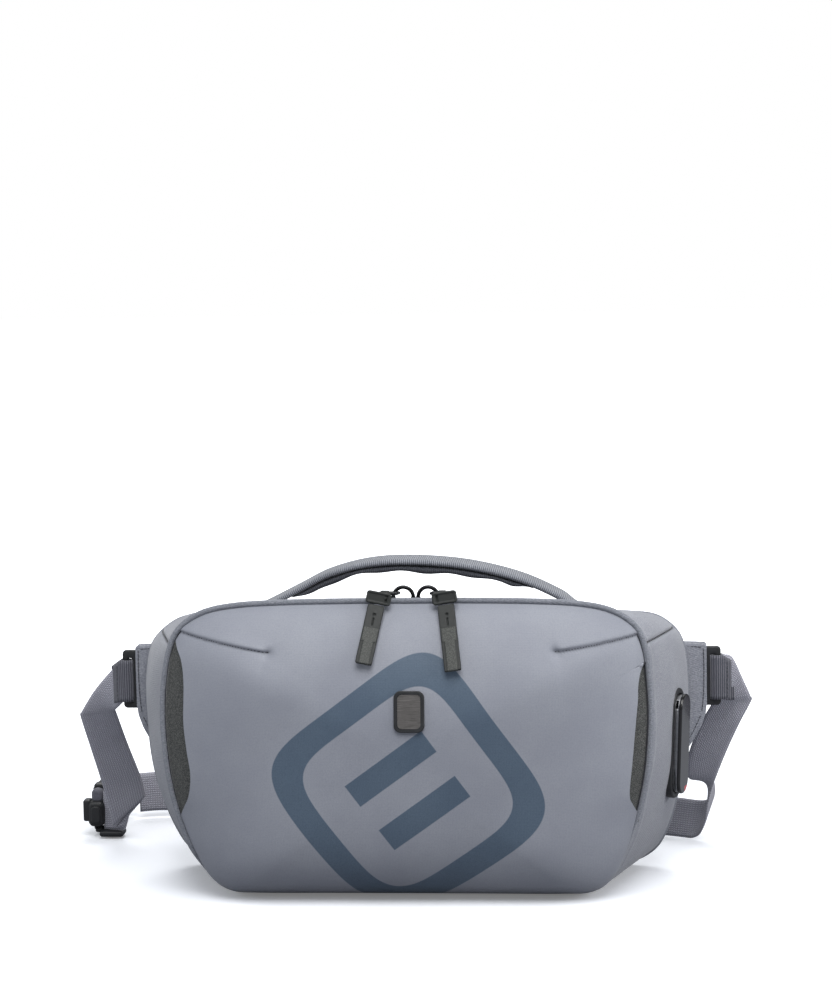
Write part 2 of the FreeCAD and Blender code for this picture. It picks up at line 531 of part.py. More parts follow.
def build_tool():
    """A pocket tool: two scales round a sprung frame, with one opener blade that swings out to the front."""
    base = "{dock_floor} + 0.2"
    frame_low = f"{base} + {{scale_thick}}"
    blade_low = f"{frame_low} + {{frame_thick}} - {{blade_thick}} - 0.7"
    outer_low = f"{frame_low} + {{frame_thick}}"
    half_long = "{tool_long} / 2"
    inner = round_ended("scale_inner", "{tool_long}", "{tool_wide}", base, "{scale_thick}")
    node("tool_scale_inner", dock_put(inner))

    pivot = ("{pivot_side}", "-{pivot_drop}")
    blank = round_ended("tool_frame_blank", "{tool_long} - 1", "{tool_wide} - 1", frame_low, "{frame_thick}")
    slot = plate("blade_slot", "YZ_Plane", f"{blade_low} - 0.1", "{blade_thick} + 0.2", [
        ("-{tool_wide}", f"-{half_long} - 1", None), ("6.2", f"-{half_long} - 1", None),
        ("6.2", "3.4 - {pivot_drop}", "1"), ("1.6", "3.4 - {pivot_drop}", None),
        ("1.6", f"{half_long} - 3", "1"), ("-{tool_wide}", f"{half_long} - 3", None)])
    pin_bore = put(bound("Part::Cylinder", "pin_bore", Radius="{pivot_r}", Height="{frame_thick} + 2"),
                   f"{frame_low} - 1", *pivot, Rotation(Vector(0, 1, 0), 90))
    node("tool_frame", dock_put(cut("tool_frame_solid", blank, slot, pin_bore)))
    pin = put(bound("Part::Cylinder", "pin", Radius="{pivot_r}", Height="{frame_thick} + 2"),
              f"{frame_low} - 1", *pivot, Rotation(Vector(0, 1, 0), 90))
    node("tool_pin", dock_put(common("tool_pin_solid", pin, blank)))

    blade = plate("blade", "YZ_Plane", blade_low, "{blade_thick}", [
        ("{pivot_side} + 2.3", "-{pivot_drop} - 2.3", "2.2"),
        ("{pivot_side} + 2.3", "-{pivot_drop} + 6", "3"),
        ("0.6", "-{pivot_drop} + {blade_long} - 8", "4"),
        ("-{blade_wide} + 2", "-{pivot_drop} + {blade_long}", "2"),
        ("-{blade_wide}", "-{pivot_drop} + {blade_long} - 6", "2"),
        ("-{blade_wide}", "-{pivot_drop} + 8", "3"),
        ("{pivot_side} - 2.3", "-{pivot_drop} - 2.3", "2.2")])
    eye = put(bound("Part::Cylinder", "blade_eye", Radius="{pivot_r} + 0.05", Height="{blade_thick} + 2"),
              f"{blade_low} - 1", *pivot, Rotation(Vector(0, 1, 0), 90))
    node("tool_opener", dock_put(cut("opener", blade, eye)))

    shell = round_ended("scale_outer", "{tool_long}", "{tool_wide}", outer_low, "{scale_thick}", "1")
    tip = box("tip_zone", (outer_low, "1", f"-{half_long} - 1"),
              (f"{outer_low} + {{scale_thick}} + 1", "5.5", f"-{half_long} + 4"))
    node("tool_scale_outer", dock_put(cut("scale_outer_cut", shell, tip)))
    node("tool_red_tip", dock_put(common("red_tip", shell, tip)))


# ---------------------------------------------------------------- the waist strap

def build_wing(side):
    """The stiffened wing behind the bag's side, and the tab past its bend that holds the ring."""
    sign = SIDES[side]
    corners = [("122", "74", "3"), ("150", "70", "8"), ("{hinge_x} - 0.3", "93.5", "1"),
               ("{hinge_x} - 0.3", "{strap_z} + 18", "1"), ("122", "{strap_z} + 20", "3")]
    if sign < 0:
        corners = [(f"-({x})", z, r) for x, z, r in reversed(corners)]
    wing = plate(f"wing_{side}_blank", "XZ_Plane", "0 - 1.6", "3.2", corners)
    node(f"wing_{side}", put(wing, y="{wing_y} - 3.4"))

    bar_x = f"{sign} * ({{ring_x}} - {{ring_wide}} / 2 + {{ring_bar_r}})"
    sleeve = cylinder(f"tab_sleeve_{side}", "{ring_bar_r} + 1.1", "{webbing_wide} - 1", bar_x, "{wing_y}",
                      "{strap_z} - {webbing_wide} / 2 + 0.5")
    bore = cylinder(f"tab_bore_{side}", "{ring_bar_r} + 0.1", "{webbing_wide} + 4", bar_x, "{wing_y}",
                    "{strap_z} - {webbing_wide} / 2 - 2")
    node(f"ring_tab_{side}", cut(f"tab_{side}", sleeve, bore))


def build_ring(side):
    """A rectangular ring of round bar, standing upright."""
    sign = SIDES[side]
    body = doc.addObject("PartDesign::Body", f"ring_{side}_body")
    path = body.newObject("Sketcher::SketchObject", f"ring_path_{side}")
    path.AttachmentSupport = [(next(o for o in body.Origin.OriginFeatures if o.Role == "XZ_Plane"), "")]
    path.MapMode = "FlatFace"
    draw(path, rounded("{ring_wide} / 2 - {ring_bar_r}", "{ring_tall} / 2 - {ring_bar_r}", "2.2"))
    profile = body.newObject("Sketcher::SketchObject", f"ring_profile_{side}")
    profile.AttachmentSupport = [(next(o for o in body.Origin.OriginFeatures if o.Role == "XY_Plane"), "")]
    profile.MapMode = "FlatFace"
    offset = "{ring_wide} / 2 - {ring_bar_r}"
    circle = profile.addGeometry(Part.Circle(Vector(value_of(offset), 0, 0), Vector(0, 0, 1),
                                             dim("ring_bar_r")), False)
    for kind, expression in (("DistanceX", offset), ("DistanceY", "0")):
        index = profile.addConstraint(Sketcher.Constraint(kind, -1, 1, circle, 3, value_of(expression)))
        profile.setExpression(f"Constraints[{index}]", bind(expression))
    index = profile.addConstraint(Sketcher.Constraint("Radius", circle, dim("ring_bar_r")))
    profile.setExpression(f"Constraints[{index}]", bind("{ring_bar_r}"))
    pipe = body.newObject("PartDesign::AdditivePipe", f"ring_bar_{side}")
    pipe.Profile = profile
    pipe.Spine = (path, [f"Edge{i + 1}" for i in range(8)])
    doc.recompute()
    node(f"ring_{side}", put(body, f"{sign} * {{ring_x}}", "{wing_y}", "{strap_z}"))


LEFT_DROP = [
    ((-177.4, 54, 121.5), (-177.4, 54, 96.5)), ((-185.4, 57, 114), (-181, 57, 93)),
    ((-196.6, 62, 101.3), (-183.5, 62, 90.5)), ((-206.5, 68, 86), (-184.5, 67, 88.5)),
    ((-203.6, 82, 62.4), (-181.6, 84, 66)), ((-200, 95, 37.4), (-176.5, 97, 42)),
    ((-196, 105, 9), (-174.6, 101, 29)),
]
LEFT_TURN = [
    ((-192.5, 104.3, 12.3), (-178, 101.6, 25.8)), ((-191.5, 108, 6), (-184, 107, 29)),
    ((-198.3, 111.3, 5), (-198.3, 111.3, 29)),
]
RIGHT_RUN = [
    ((177.4, 54, 124), (177.4, 54, 98)), ((183, 56, 122.5), (179.5, 57, 97)),
    ((188.5, 59, 111), (178, 60, 96.5)), ((194.8, 64, 96), (171.5, 64, 93)),
    ((187.8, 68, 80.5), (163.5, 70, 77)), ((180.6, 76, 62.9), (157.2, 78, 57)),
    ((174.5, 86, 45), (158.5, 90, 42)), ((169.5, 92, 28), (171, 108, 40)),
    ((167, 100, 12), (173.5, 108, 29)), ((162, 109, 1.5), (167.5, 111, 24)),
    ((150, 113, 1), (152, 113, 25)), ((118, 128, 1), (118, 128, 26)), ((60, 150, 1), (60, 150, 26)),
    ((0, 162, 1), (0, 162, 26)), ((-70, 168, 1), (-70, 168, 26)), ((-130, 169, 2), (-130, 169, 27)),
    ((-172, 167.5, 4), (-172, 167.5, 29)), ((-190, 163, 4), (-190, 163, 29)),
]
BIGHT = [
    ((-205, 163, 4.5), (-205, 163, 29.5)), ((-204.2, 168, 4.5), (-204.2, 168, 29.5)),
    ((-200.5, 170.5, 4.5), (-200.5, 170.5, 29.5)), ((-194.8, 167.5, 4.3), (-194.8, 167.5, 29.3)),
]


def build_webbing():
    drop = ribbon("left_drop", LEFT_DROP)
    turn = ribbon("left_turn", LEFT_TURN)
    node("strap_left", fuse("strap_left_solid", drop, turn))
    node("strap_right", ribbon("strap_right_solid", RIGHT_RUN))
    node("strap_bight", ribbon("strap_bight_solid", BIGHT))


def build_buckle():
    """A side-release buckle on edge, its axis along Y: a hollow female half and a two-armed male half."""
    wide, thick = "{buckle_half_wide}", "{buckle_half_thick}"

    def block(name, y_low, y_high, half_x, z_low, z_high):
        x, y, z = "{buckle_x}", "{buckle_y}", "{buckle_z}"
        return box(name, (f"{x} - ({half_x})", f"{y} + ({y_low})", f"{z} + ({z_low})"),
                   (f"{x} + ({half_x})", f"{y} + ({y_high})", f"{z} + ({z_high})"))

    shell = plate("female_shell", "XY_Plane", f"-{wide}", f"2 * {wide}",
                  rounded(thick, "{female_long} / 2", "2.5", "0", "{female_long} / 2"))
    put(shell, "{buckle_x}", "{buckle_y}", "{buckle_z}")
    cavity = block("female_cavity", "8", "{female_long} + 1", f"{thick} - 2",
                   f"-{wide} + 2.6", f"{wide} - 2.6")
    window_low = block("female_window_low", "10.5", "{female_long} + 1", f"{thick} - 2.6", f"-{wide} - 1",
                       f"-{wide} + 4")
    window_high = block("female_window_high", "10.5", "{female_long} + 1", f"{thick} - 2.6", f"{wide} - 4",
                        f"{wide} + 1")
    slot = block("female_slot", "2.6", "5.6", f"{thick} + 1", f"-{wide} + 2", f"{wide} - 2")
    node("buckle_female", cut("female", shell, cavity, window_low, window_high, slot))

    base_low, base_high = "{female_long} + 0.4", "{female_long} + 0.4 + {male_base}"
    base = block("male_base_block", base_low, base_high, f"{thick} - 0.3", f"-{wide}", wide)
    ladder = [block(f"male_slot_{i}", f"{{female_long}} + {start}", f"{{female_long}} + {start} + 3",
                    f"{thick} + 1", f"-{wide} + 2", f"{wide} - 2") for i, start in enumerate((5.5, 11))]
    arms = [block(f"male_arm_{i}", "{female_long} - {arm_long}", f"{base_low} + 1", f"{thick} - 2.8",
                  f"{low}", f"{low} + 3") for i, low in enumerate((f"-{wide} + 0.4", f"{wide} - 3.4"))]
    tongue = block("male_tongue", "{female_long} - {arm_long} + 3", f"{base_low} + 1",
                   f"{thick} - 2.8", "-2", "2")
    node("buckle_male", cut("male", fuse("male_solid", base, *arms, tongue), *ladder))


# ---------------------------------------------------------------- assembly

def build_shell(badge_envelope, dock_envelope):
    """The sewn panels: the box and the front pillow, cut along their seams."""
    gusset = cut("gusset_shell", gusset_block("gusset_outer", "{seam_front_y}", "{seam_back_y}", "0"),
                 gusset_block("gusset_inner", "{seam_front_y} - 1", "{seam_back_y} + 1", "{wall}"))
    piping = node("front_piping", front_piping())
    zip_slot = zip_box("zip_slot", ("-{zip_half} - 0.2", "-{zip_half_width} - 0.2", "-8"),
                       ("{zip_half} + 0.2", "{zip_half_width} + 0.2", "8"))
    above = box("shoulder_zone", ("-200", "-60", "{shoulder_seam_z}"), ("200", "60", "200"))
    node("top_panel", cut("top", common("top_zone", gusset, above), piping, zip_slot))
    middle = box("base_zone", ("-{corner_seam_x}", "-60", "0"), ("{corner_seam_x}", "60", "60"))
    node("base_panel", common("base", gusset, middle))
    for side, sign in SIDES.items():
        reach = ("{corner_seam_x}", "200") if sign > 0 else ("-200", "-{corner_seam_x}")
        zone = box(f"side_zone_{side}", (reach[0], "-60", "0"), (reach[1], "60", "{shoulder_seam_z}"))
        tools = [piping] + ([dock_envelope] if sign > 0 else [])
        node(f"side_panel_{side}", cut(f"side_{side}", common(f"side_part_{side}", gusset, zone), *tools))

    pillow = cut("pillow_shell", bulge_block("pillow_outer", "0"), bulge_block("pillow_inner", "{wall}"))
    cutters = [insert_prism(side) for side in SIDES]
    for side, cutter in zip(SIDES, cutters):
        window = common(f"insert_part_{side}", pillow, cutter)
        node(f"pocket_insert_{side}", cut(f"insert_{side}", window, piping))
    node("front_panel", cut("front", pillow, *cutters, piping, badge_envelope))


def build_back():
    """The back wall, the foam behind it and the padded pad that rests on the wearer."""
    def layer(name, low_y, thick, inset):
        corners = hexagon(f"{{back_base_half}} - ({inset})", f"{{back_knee_half}} - ({inset})",
                          f"{{back_top_half}} - ({inset})", inset, f"{{back_top_z}} - ({inset})",
                          "{back_top_round}")
        sketch = outline(f"{name}_outline", corners, low_y)
        return extrude(name, sketch, thick, Vector(0, 1, 0))

    node("back_panel", layer("back_wall", "{seam_back_y} - {back_panel_thick}", "{back_panel_thick}",
                             "{wall} + 1.2"))
    node("back_foam", layer("foam", "{seam_back_y} - {back_panel_thick} - {ease} - {foam_thick}",
                            "{foam_thick}", "{foam_inset}"))
    pad = layer("pad", "{seam_back_y} + 0.1", "{pad_thick}", "{pad_inset}")
    wings = [box(f"pad_relief_{side}", (f"{sign} * 140 - 22", "{seam_back_y}", "66"),
                 (f"{sign} * 140 + 22", "{seam_back_y} + 12", "136")) for side, sign in SIDES.items()]
    node("back_pad", cut("back_pad_solid", pad, *wings))


def build_inside():
    """The lining, the stiffener under it and the flat pocket on its back wall."""
    front_y = "{seam_front_y} + 0.5"
    back_y = "{seam_back_y} - {back_panel_thick} - {foam_thick} - 2 * {ease} - 0.4"
    outer = gusset_block("lining_outer", front_y, back_y, "{lining_gap}")
    inner = gusset_block("lining_inner", f"{front_y} + {{lining_wall}}", f"{back_y} - {{lining_wall}}",
                         "{lining_gap} + {lining_wall}")
    slot = zip_box("lining_slot", ("-{zip_half}", "-{zip_half_width}", "-12"),
                   ("{zip_half}", "{zip_half_width}", "2"))
    node("lining", cut("lining_solid", outer, inner, slot))
    board = rounded("96", "30", "10", "0", "8")
    node("base_stiffener", plate("stiffener", "XY_Plane", "{wall} + {ease}", "1.6", board))
    pocket_y = f"{back_y} - {{lining_wall}} - 2.2"
    pocket = outline("pocket_outline", rounded("100", "40", "8", "0", "58"), pocket_y)
    node("inner_pocket", extrude("pocket_sheet", pocket, "1.2", Vector(0, 1, 0)))


badge = build_badge()
dock = build_dock()
build_shell(badge, dock)
build_back()
build_inside()
build_zip()
for hand in SIDES:
    build_puller(hand, build_slider(hand))
    build_wing(hand)
    build_ring(hand)
build_handle()
build_tool()
build_webbing()
build_buckle()
doc.recompute()

failed = [f"{o.Name} {o.State}" for o in doc.Objects if "Invalid" in o.State or "Error" in o.State]
failed += [name for name, obj in nodes.items() if obj.Shape.isNull() or not obj.Shape.isValid()]
if failed:
    raise SystemExit(f"failed: {failed}")
os.makedirs("parts", exist_ok=True)
for name, obj in nodes.items():
    obj.Shape.exportStep(f"parts/{name}.step")
    bounds = obj.Shape.BoundBox
    print(f"{name:20s} solids {len(obj.Shape.Solids)} volume {obj.Shape.Volume:10.1f}"
          f"  x {bounds.XMin:7.1f} {bounds.XMax:7.1f}  y {bounds.YMin:6.1f} {bounds.YMax:6.1f}"
          f"  z {bounds.ZMin:6.1f} {bounds.ZMax:6.1f}")
print(len(nodes), "nodes")
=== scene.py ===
import math

import bmesh
import bpy
import numpy as np
from mathutils import Matrix, Vector


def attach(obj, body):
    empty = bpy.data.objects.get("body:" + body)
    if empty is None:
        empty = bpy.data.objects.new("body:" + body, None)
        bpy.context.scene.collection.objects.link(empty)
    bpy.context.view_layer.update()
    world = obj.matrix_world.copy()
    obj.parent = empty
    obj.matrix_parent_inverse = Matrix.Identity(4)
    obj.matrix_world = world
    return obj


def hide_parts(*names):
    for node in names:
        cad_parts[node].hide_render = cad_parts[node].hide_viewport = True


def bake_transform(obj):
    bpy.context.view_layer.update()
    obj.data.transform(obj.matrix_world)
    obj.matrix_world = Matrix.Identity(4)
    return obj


# The looks of a grey two-way carry body bag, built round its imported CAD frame.
# Lengths here are millimetres, and MM turns them into the frame's metres. +X is right, +Y is back, +Z is up.

MM = 0.001
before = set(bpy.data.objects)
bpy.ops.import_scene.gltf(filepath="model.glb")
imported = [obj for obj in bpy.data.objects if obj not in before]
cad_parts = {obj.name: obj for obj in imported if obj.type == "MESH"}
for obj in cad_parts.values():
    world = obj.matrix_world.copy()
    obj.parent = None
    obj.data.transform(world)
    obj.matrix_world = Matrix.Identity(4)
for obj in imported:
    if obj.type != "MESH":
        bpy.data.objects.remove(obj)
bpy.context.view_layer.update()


# ---------------------------------------------------------------- curves

def smooth(t):
    """A soft step from 0 to 1 while t goes from 0 to 1."""
    t = np.clip(t, 0, 1)
    return t * t * (3 - 2 * t)


def catmull(points, u, closed=False):
    """Points on a Catmull-Rom curve through points, at float indices u."""
    points = np.asarray(points, float)
    count = len(points)
    u = np.asarray(u, float)
    i = np.floor(u).astype(int)
    if not closed:
        i = np.clip(i, 0, count - 2)
    f = (u - i)[:, None]

    def pick(k):
        return points[k % count] if closed else points[np.clip(k, 0, count - 1)]

    a, b, c, d = pick(i - 1), pick(i), pick(i + 1), pick(i + 2)
    return 0.5 * (2 * b + f * (c - a + f * (2 * a - 5 * b + 4 * c - d + f * (3 * b - a - 3 * c + d))))


def unit(rows):
    """Vectors scaled to length 1. The last axis holds their parts."""
    return rows / np.linalg.norm(rows, axis=-1, keepdims=True)


def run_length(path):
    """Distance along a path at each of its points."""
    return np.concatenate([[0], np.cumsum(np.linalg.norm(np.diff(path, axis=0), axis=1))])


def even_path(points, spacing):
    """A smooth open path through points, with even steps."""
    dense = catmull(points, np.linspace(0, len(points) - 1, len(points) * 40))
    length = run_length(dense)
    steps = np.linspace(0, length[-1], max(2, int(round(length[-1] / spacing)) + 1))
    return np.stack([np.interp(steps, length, column) for column in dense.T], axis=1)


# ---------------------------------------------------------------- meshes

def face_outward(mesh):
    """Turns every face outward, on a mesh whose parts are all closed."""
    work = bmesh.new()
    work.from_mesh(mesh)
    if all(edge.is_manifold for edge in work.edges):
        bmesh.ops.recalc_face_normals(work, faces=work.faces)
        work.to_mesh(mesh)
    work.free()


def new_object(name, points, faces, uvs=None):
    """A smooth-shaded mesh object from millimetre points."""
    mesh = bpy.data.meshes.new(name)
    mesh.from_pydata((np.asarray(points, float) * MM).tolist(), [], [tuple(map(int, f)) for f in faces])
    if uvs is not None:
        layer = mesh.uv_layers.new(name="UVMap")
        corner_vertex = np.zeros(len(mesh.loops), int)
        mesh.loops.foreach_get("vertex_index", corner_vertex)
        layer.data.foreach_set("uv", np.asarray(uvs, float)[corner_vertex].ravel())
    mesh.validate()
    face_outward(mesh)
    mesh.shade_smooth()
    obj = bpy.data.objects.new(name, mesh)
    bpy.context.scene.collection.objects.link(obj)
    return obj


def grid_faces(rows, columns, closed=False):
    """Quads of a grid of points. A closed grid joins its last column to its first."""
    faces = []
    for i in range(rows - 1):
        for j in range(columns if closed else columns - 1):
            k = (j + 1) % columns
            faces.append((i * columns + j, i * columns + k, (i + 1) * columns + k, (i + 1) * columns + j))
    return faces


def capped_faces(rows, sides):
    """Faces of a tube made of rows of points, closed at both ends."""
    last = (rows - 1) * sides
    ends = [tuple(range(sides))[::-1], tuple(range(last, last + sides))]
    return grid_faces(rows, sides, closed=True) + ends


def tape_uvs(across, along):
    """UVs in millimetres, for points whose columns run across a tape and whose rows run along it."""
    return np.stack(np.broadcast_arrays(across[None], along[:, None]), axis=-1)


def sheet(name, grid, uvs=None, keep=None):
    """A sheet from a grid of points. keep, if given, marks the quads to keep."""
    rows, columns = grid.shape[:2]
    faces = np.array(grid_faces(rows, columns))
    if keep is not None:
        faces = faces[keep.ravel()]
    return new_object(name, grid.reshape(-1, 3), faces, None if uvs is None else uvs.reshape(-1, 2))


def face_away(obj, centre):
    """Turns a sheet's normals to face away from a point."""
    centre = Vector(centre) * MM
    if sum((p.center - centre).normalized().dot(p.normal) * p.area for p in obj.data.polygons) < 0:
        obj.data.flip_normals()
    return obj


def bake(obj):
    """Applies every modifier."""
    graph = bpy.context.evaluated_depsgraph_get()
    made = bpy.data.meshes.new_from_object(obj.evaluated_get(graph))
    obj.modifiers.clear()
    obj.data = made
    return obj


def drop_loose(obj):
    """Removes points that belong to no face."""
    used = {i for p in obj.data.polygons for i in p.vertices}
    if len(used) < len(obj.data.vertices):
        work = bmesh.new()
        work.from_mesh(obj.data)
        work.verts.ensure_lookup_table()
        bmesh.ops.delete(work, geom=[v for v in work.verts if v.index not in used], context="VERTS")
        work.to_mesh(obj.data)
        work.free()
    return obj


def thicken(obj, thickness, side=-1):
    """Gives a sheet a thickness, on the side away from its normals unless side is 1."""
    drop_loose(obj)
    solid = obj.modifiers.new("thick", "SOLIDIFY")
    solid.thickness = thickness * MM
    solid.offset = side
    solid.use_even_offset = False
    bake(obj)
    obj.data.shade_smooth()
    return obj


def soften(obj, levels=1):
    """Rounds a mesh by subdivision."""
    obj.modifiers.new("subdivision", "SUBSURF").levels = levels
    return bake(obj)


X_AXIS, Y_AXIS, Z_AXIS = np.eye(3)


def path_frames(path):
    """Tangent, side and up vectors along a path, turning as little as they can."""
    tangent = unit(np.gradient(path, axis=0))
    up = Z_AXIS if abs(tangent[0][2]) < 0.9 else X_AXIS
    ups = []
    for t in tangent:
        up = unit(up - t * (up @ t))
        ups.append(up)
    ups = np.array(ups)
    return tangent, np.cross(tangent, ups), ups


def tube_parts(path, radius, sides=10, flat=1.0):
    """Points and faces of a round or flattened cord along a path, with domed ends. Its radius may vary."""
    path = np.asarray(path, float)
    tangent, side, up = path_frames(path)
    radii = np.zeros(len(path)) + radius
    rings = [(path[0] - tangent[0] * radii[0] * 0.7, radii[0] * 0.5, side[0], up[0])]
    rings += [(p, r, s, u) for p, r, s, u in zip(path, radii, side, up)]
    rings += [(path[-1] + tangent[-1] * radii[-1] * 0.7, radii[-1] * 0.5, side[-1], up[-1])]
    angles = np.linspace(0, 2 * math.pi, sides, endpoint=False)
    points = []
    for centre, r, s, u in rings:
        points.extend(centre + r * (math.cos(a) * s + flat * math.sin(a) * u) for a in angles)
    return np.array(points), capped_faces(len(rings), sides)


def joined(name, parts):
    """One object from many (points, faces) parts."""
    points, faces, offset = [], [], 0
    for part_points, part_faces in parts:
        points.append(part_points)
        faces.extend(tuple(i + offset for i in face) for face in part_faces)
        offset += len(part_points)
    return new_object(name, np.vstack(points), faces)


def relief_slab(wide, tall, corner, thickness, relief=None, edge=0.5, step=0.4):
    """Points and faces of a round-cornered slab with a relief on its front.

    The points' columns are across, out and up from the slab's middle, all in millimetres."""
    rows, columns = int(tall / step) + 2, int(wide / step) + 2
    up = np.linspace(-tall / 2, tall / 2, rows)
    over = np.clip(np.abs(up) - tall / 2 + corner, 0, corner)
    half = wide / 2 - corner + np.sqrt(corner ** 2 - over ** 2)
    across = half[:, None] * np.linspace(-1, 1, columns)[None]
    up = np.repeat(up[:, None], columns, axis=1)
    gap = np.minimum(half[:, None] - np.abs(across), tall / 2 - np.abs(up))
    worn = edge - np.sqrt(np.clip(edge ** 2 - np.clip(edge - gap, 0, None) ** 2, 0, None))
    front = thickness - worn + (relief(across, up) if relief else 0)
    layers = [np.stack([across, out, up], axis=-1).reshape(-1, 3) for out in (front, worn)]
    quads = grid_faces(rows, columns)
    count = rows * columns
    faces = quads + [tuple(i + count for i in f) for f in quads]
    for line in (range(columns), range(count - columns, count),
                 range(0, count, columns), range(columns - 1, count, columns)):
        faces += [(i, j, j + count, i + count) for i, j in zip(line[:-1], line[1:])]
    return np.vstack(layers), faces


def placed(part, origin, right, out, up):
    """A part moved from its own axes to an origin and three directions."""
    points, faces = part
    turned = points[:, :1] * right + points[:, 1:2] * out + points[:, 2:3] * up
    return turned + np.asarray(origin, float), faces


def bar_frame(wide, tall, bars, thickness):
    """A flat rectangular frame. bars holds the widths of its left, right and level bars."""
    left, right, level = bars

    def loop(x_low, x_high, z_half, radius):
        corners = np.array([(x_low, -z_half), (x_high, -z_half), (x_high, z_half), (x_low, z_half)])
        points = []
        for i, corner in enumerate(corners):
            before, after = unit(corners[i - 1] - corner), unit(corners[(i + 1) % 4] - corner)
            for angle in np.linspace(0, math.pi / 2, 7):
                pull = radius * ((1 - math.sin(angle)) * before + (1 - math.cos(angle)) * after)
                points.append(corner + pull)
        return np.array(points)

    out_loop = loop(-wide / 2, wide / 2, tall / 2, 2.4)
    in_loop = loop(left - wide / 2, wide / 2 - right, tall / 2 - level, 0.8)
    rings = []
    for step in np.linspace(0, 2 * math.pi, 16, endpoint=False):
        share = 0.5 - 0.5 * math.copysign(abs(math.cos(step)) ** 0.35, math.cos(step))
        depth = math.copysign(abs(math.sin(step)) ** 0.6, math.sin(step)) * (thickness / 2)
        flat = out_loop + (in_loop - out_loop) * share
        rings.append(np.stack([flat[:, 0], np.full(len(flat), depth), flat[:, 1]], axis=1))
    count = len(out_loop)
    faces = grid_faces(len(rings), count, closed=True)
    last = (len(rings) - 1) * count
    faces += [(last + j, last + (j + 1) % count, (j + 1) % count, j) for j in range(count)]
    return np.vstack(rings), faces


def stitches(name, lines, pitch=2.6, length=1.7, radius=0.28):
    """Rows of thread stitches along lines that lie on the cloth."""
    parts = []
    for line in lines:
        line = np.asarray(line, float)
        run = run_length(line)
        for start in np.arange(0.4, run[-1] - length, pitch):
            at = np.linspace(start, start + length, 4)
            path = np.stack([np.interp(at, run, column) for column in line.T], axis=1)
            parts.append(tube_parts(path, radius, 6))
    return joined(name, parts)


# ---------------------------------------------------------------- materials

def linear(value):
    """A colour part of 0 to 255, as screens show it, turned into light."""
    value /= 255
    return value / 12.92 if value <= 0.04045 else ((value + 0.055) / 1.055) ** 2.4


class Shader:
    """A principled material, built up node by node. Its colours are red, green and blue from 0 to 255."""

    def __init__(self, name, roughness=0.8, metallic=0.0, sheen=0.0, coat=0.0):
        self.material = bpy.data.materials.new(name)
        self.material.use_nodes = True
        self.nodes = self.material.node_tree.nodes
        self.links = self.material.node_tree.links
        self.surface = self.nodes["Principled BSDF"]
        self.surface.inputs["Roughness"].default_value = roughness
        self.surface.inputs["Metallic"].default_value = metallic
        self.surface.inputs["Sheen Weight"].default_value = sheen
        self.surface.inputs["Sheen Roughness"].default_value = 0.4
        self.surface.inputs["Coat Weight"].default_value = coat
        self.height = None

    def feed(self, socket, value):
        if isinstance(value, bpy.types.NodeSocket):
            self.links.new(value, socket)
        elif isinstance(value, tuple):
            socket.default_value = (*(linear(part) for part in value), 1.0)
        else:
            socket.default_value = value

    def place(self, kind="Object"):
        return self.nodes.new("ShaderNodeTexCoord").outputs[kind]

    def axes(self, vector):
        split = self.nodes.new("ShaderNodeSeparateXYZ")
        self.feed(split.inputs[0], vector)
        return split.outputs[0], split.outputs[1], split.outputs[2]

    def math(self, operation, a, b=0.0):
        made = self.nodes.new("ShaderNodeMath")
        made.operation = operation
        self.feed(made.inputs[0], a)
        self.feed(made.inputs[1], b)
        return made.outputs[0]

    def times(self, a, b):
        return self.math("MULTIPLY", a, b)

    def plus(self, a, b):
        return self.math("ADD", a, b)

    def absolute(self, a):
        return self.math("ABSOLUTE", a)

    def wave(self, coordinate, pitch):
        """A sine of a coordinate, from 0 to 1, one cycle per pitch."""
        return self.plus(self.times(self.math("SINE", self.times(coordinate, 2 * math.pi / pitch)), 0.5), 0.5)

    def noise(self, vector, scale, detail=2.0, rough=0.5):
        made = self.nodes.new("ShaderNodeTexNoise")
        self.feed(made.inputs["Vector"], vector)
        made.inputs["Scale"].default_value = scale
        made.inputs["Detail"].default_value = detail
        made.inputs["Roughness"].default_value = rough
        return made.outputs["Fac"]

    def cells(self, vector, scale):
        made = self.nodes.new("ShaderNodeTexVoronoi")
        self.feed(made.inputs["Vector"], vector)
        made.inputs["Scale"].default_value = scale
        return made.outputs["Distance"]

    def stretch(self, vector, x, y, z):
        made = self.nodes.new("ShaderNodeMapping")
        self.feed(made.inputs["Vector"], vector)
        made.inputs["Scale"].default_value = (x, y, z)
        return made.outputs[0]

    def ramp(self, value, low, high, to_low=0.0, to_high=1.0):
        made = self.nodes.new("ShaderNodeMapRange")
        made.interpolation_type = "SMOOTHSTEP"
        self.feed(made.inputs["Value"], value)
        for key, number in (("From Min", low), ("From Max", high), ("To Min", to_low), ("To Max", to_high)):
            made.inputs[key].default_value = number
        return made.outputs[0]

    def mix(self, share, a, b):
        made = self.nodes.new("ShaderNodeMix")
        made.data_type = "RGBA"
        self.feed(made.inputs[0], share)
        self.feed(made.inputs[6], a)
        self.feed(made.inputs[7], b)
        return made.outputs[2]

    def colour(self, value):
        self.feed(self.surface.inputs["Base Color"], value)
        return self

    def rough(self, value):
        self.feed(self.surface.inputs["Roughness"], value)
        return self

    def bump(self, value, depth, strength=1.0):
        """Adds relief of a depth in millimetres on top of any earlier relief."""
        made = self.nodes.new("ShaderNodeBump")
        made.inputs["Strength"].default_value = strength
        made.inputs["Distance"].default_value = depth * MM
        self.feed(made.inputs["Height"], value)
        if self.height is not None:
            self.feed(made.inputs["Normal"], self.height)
        self.height = made.outputs[0]
        self.feed(self.surface.inputs["Normal"], self.height)
        return self


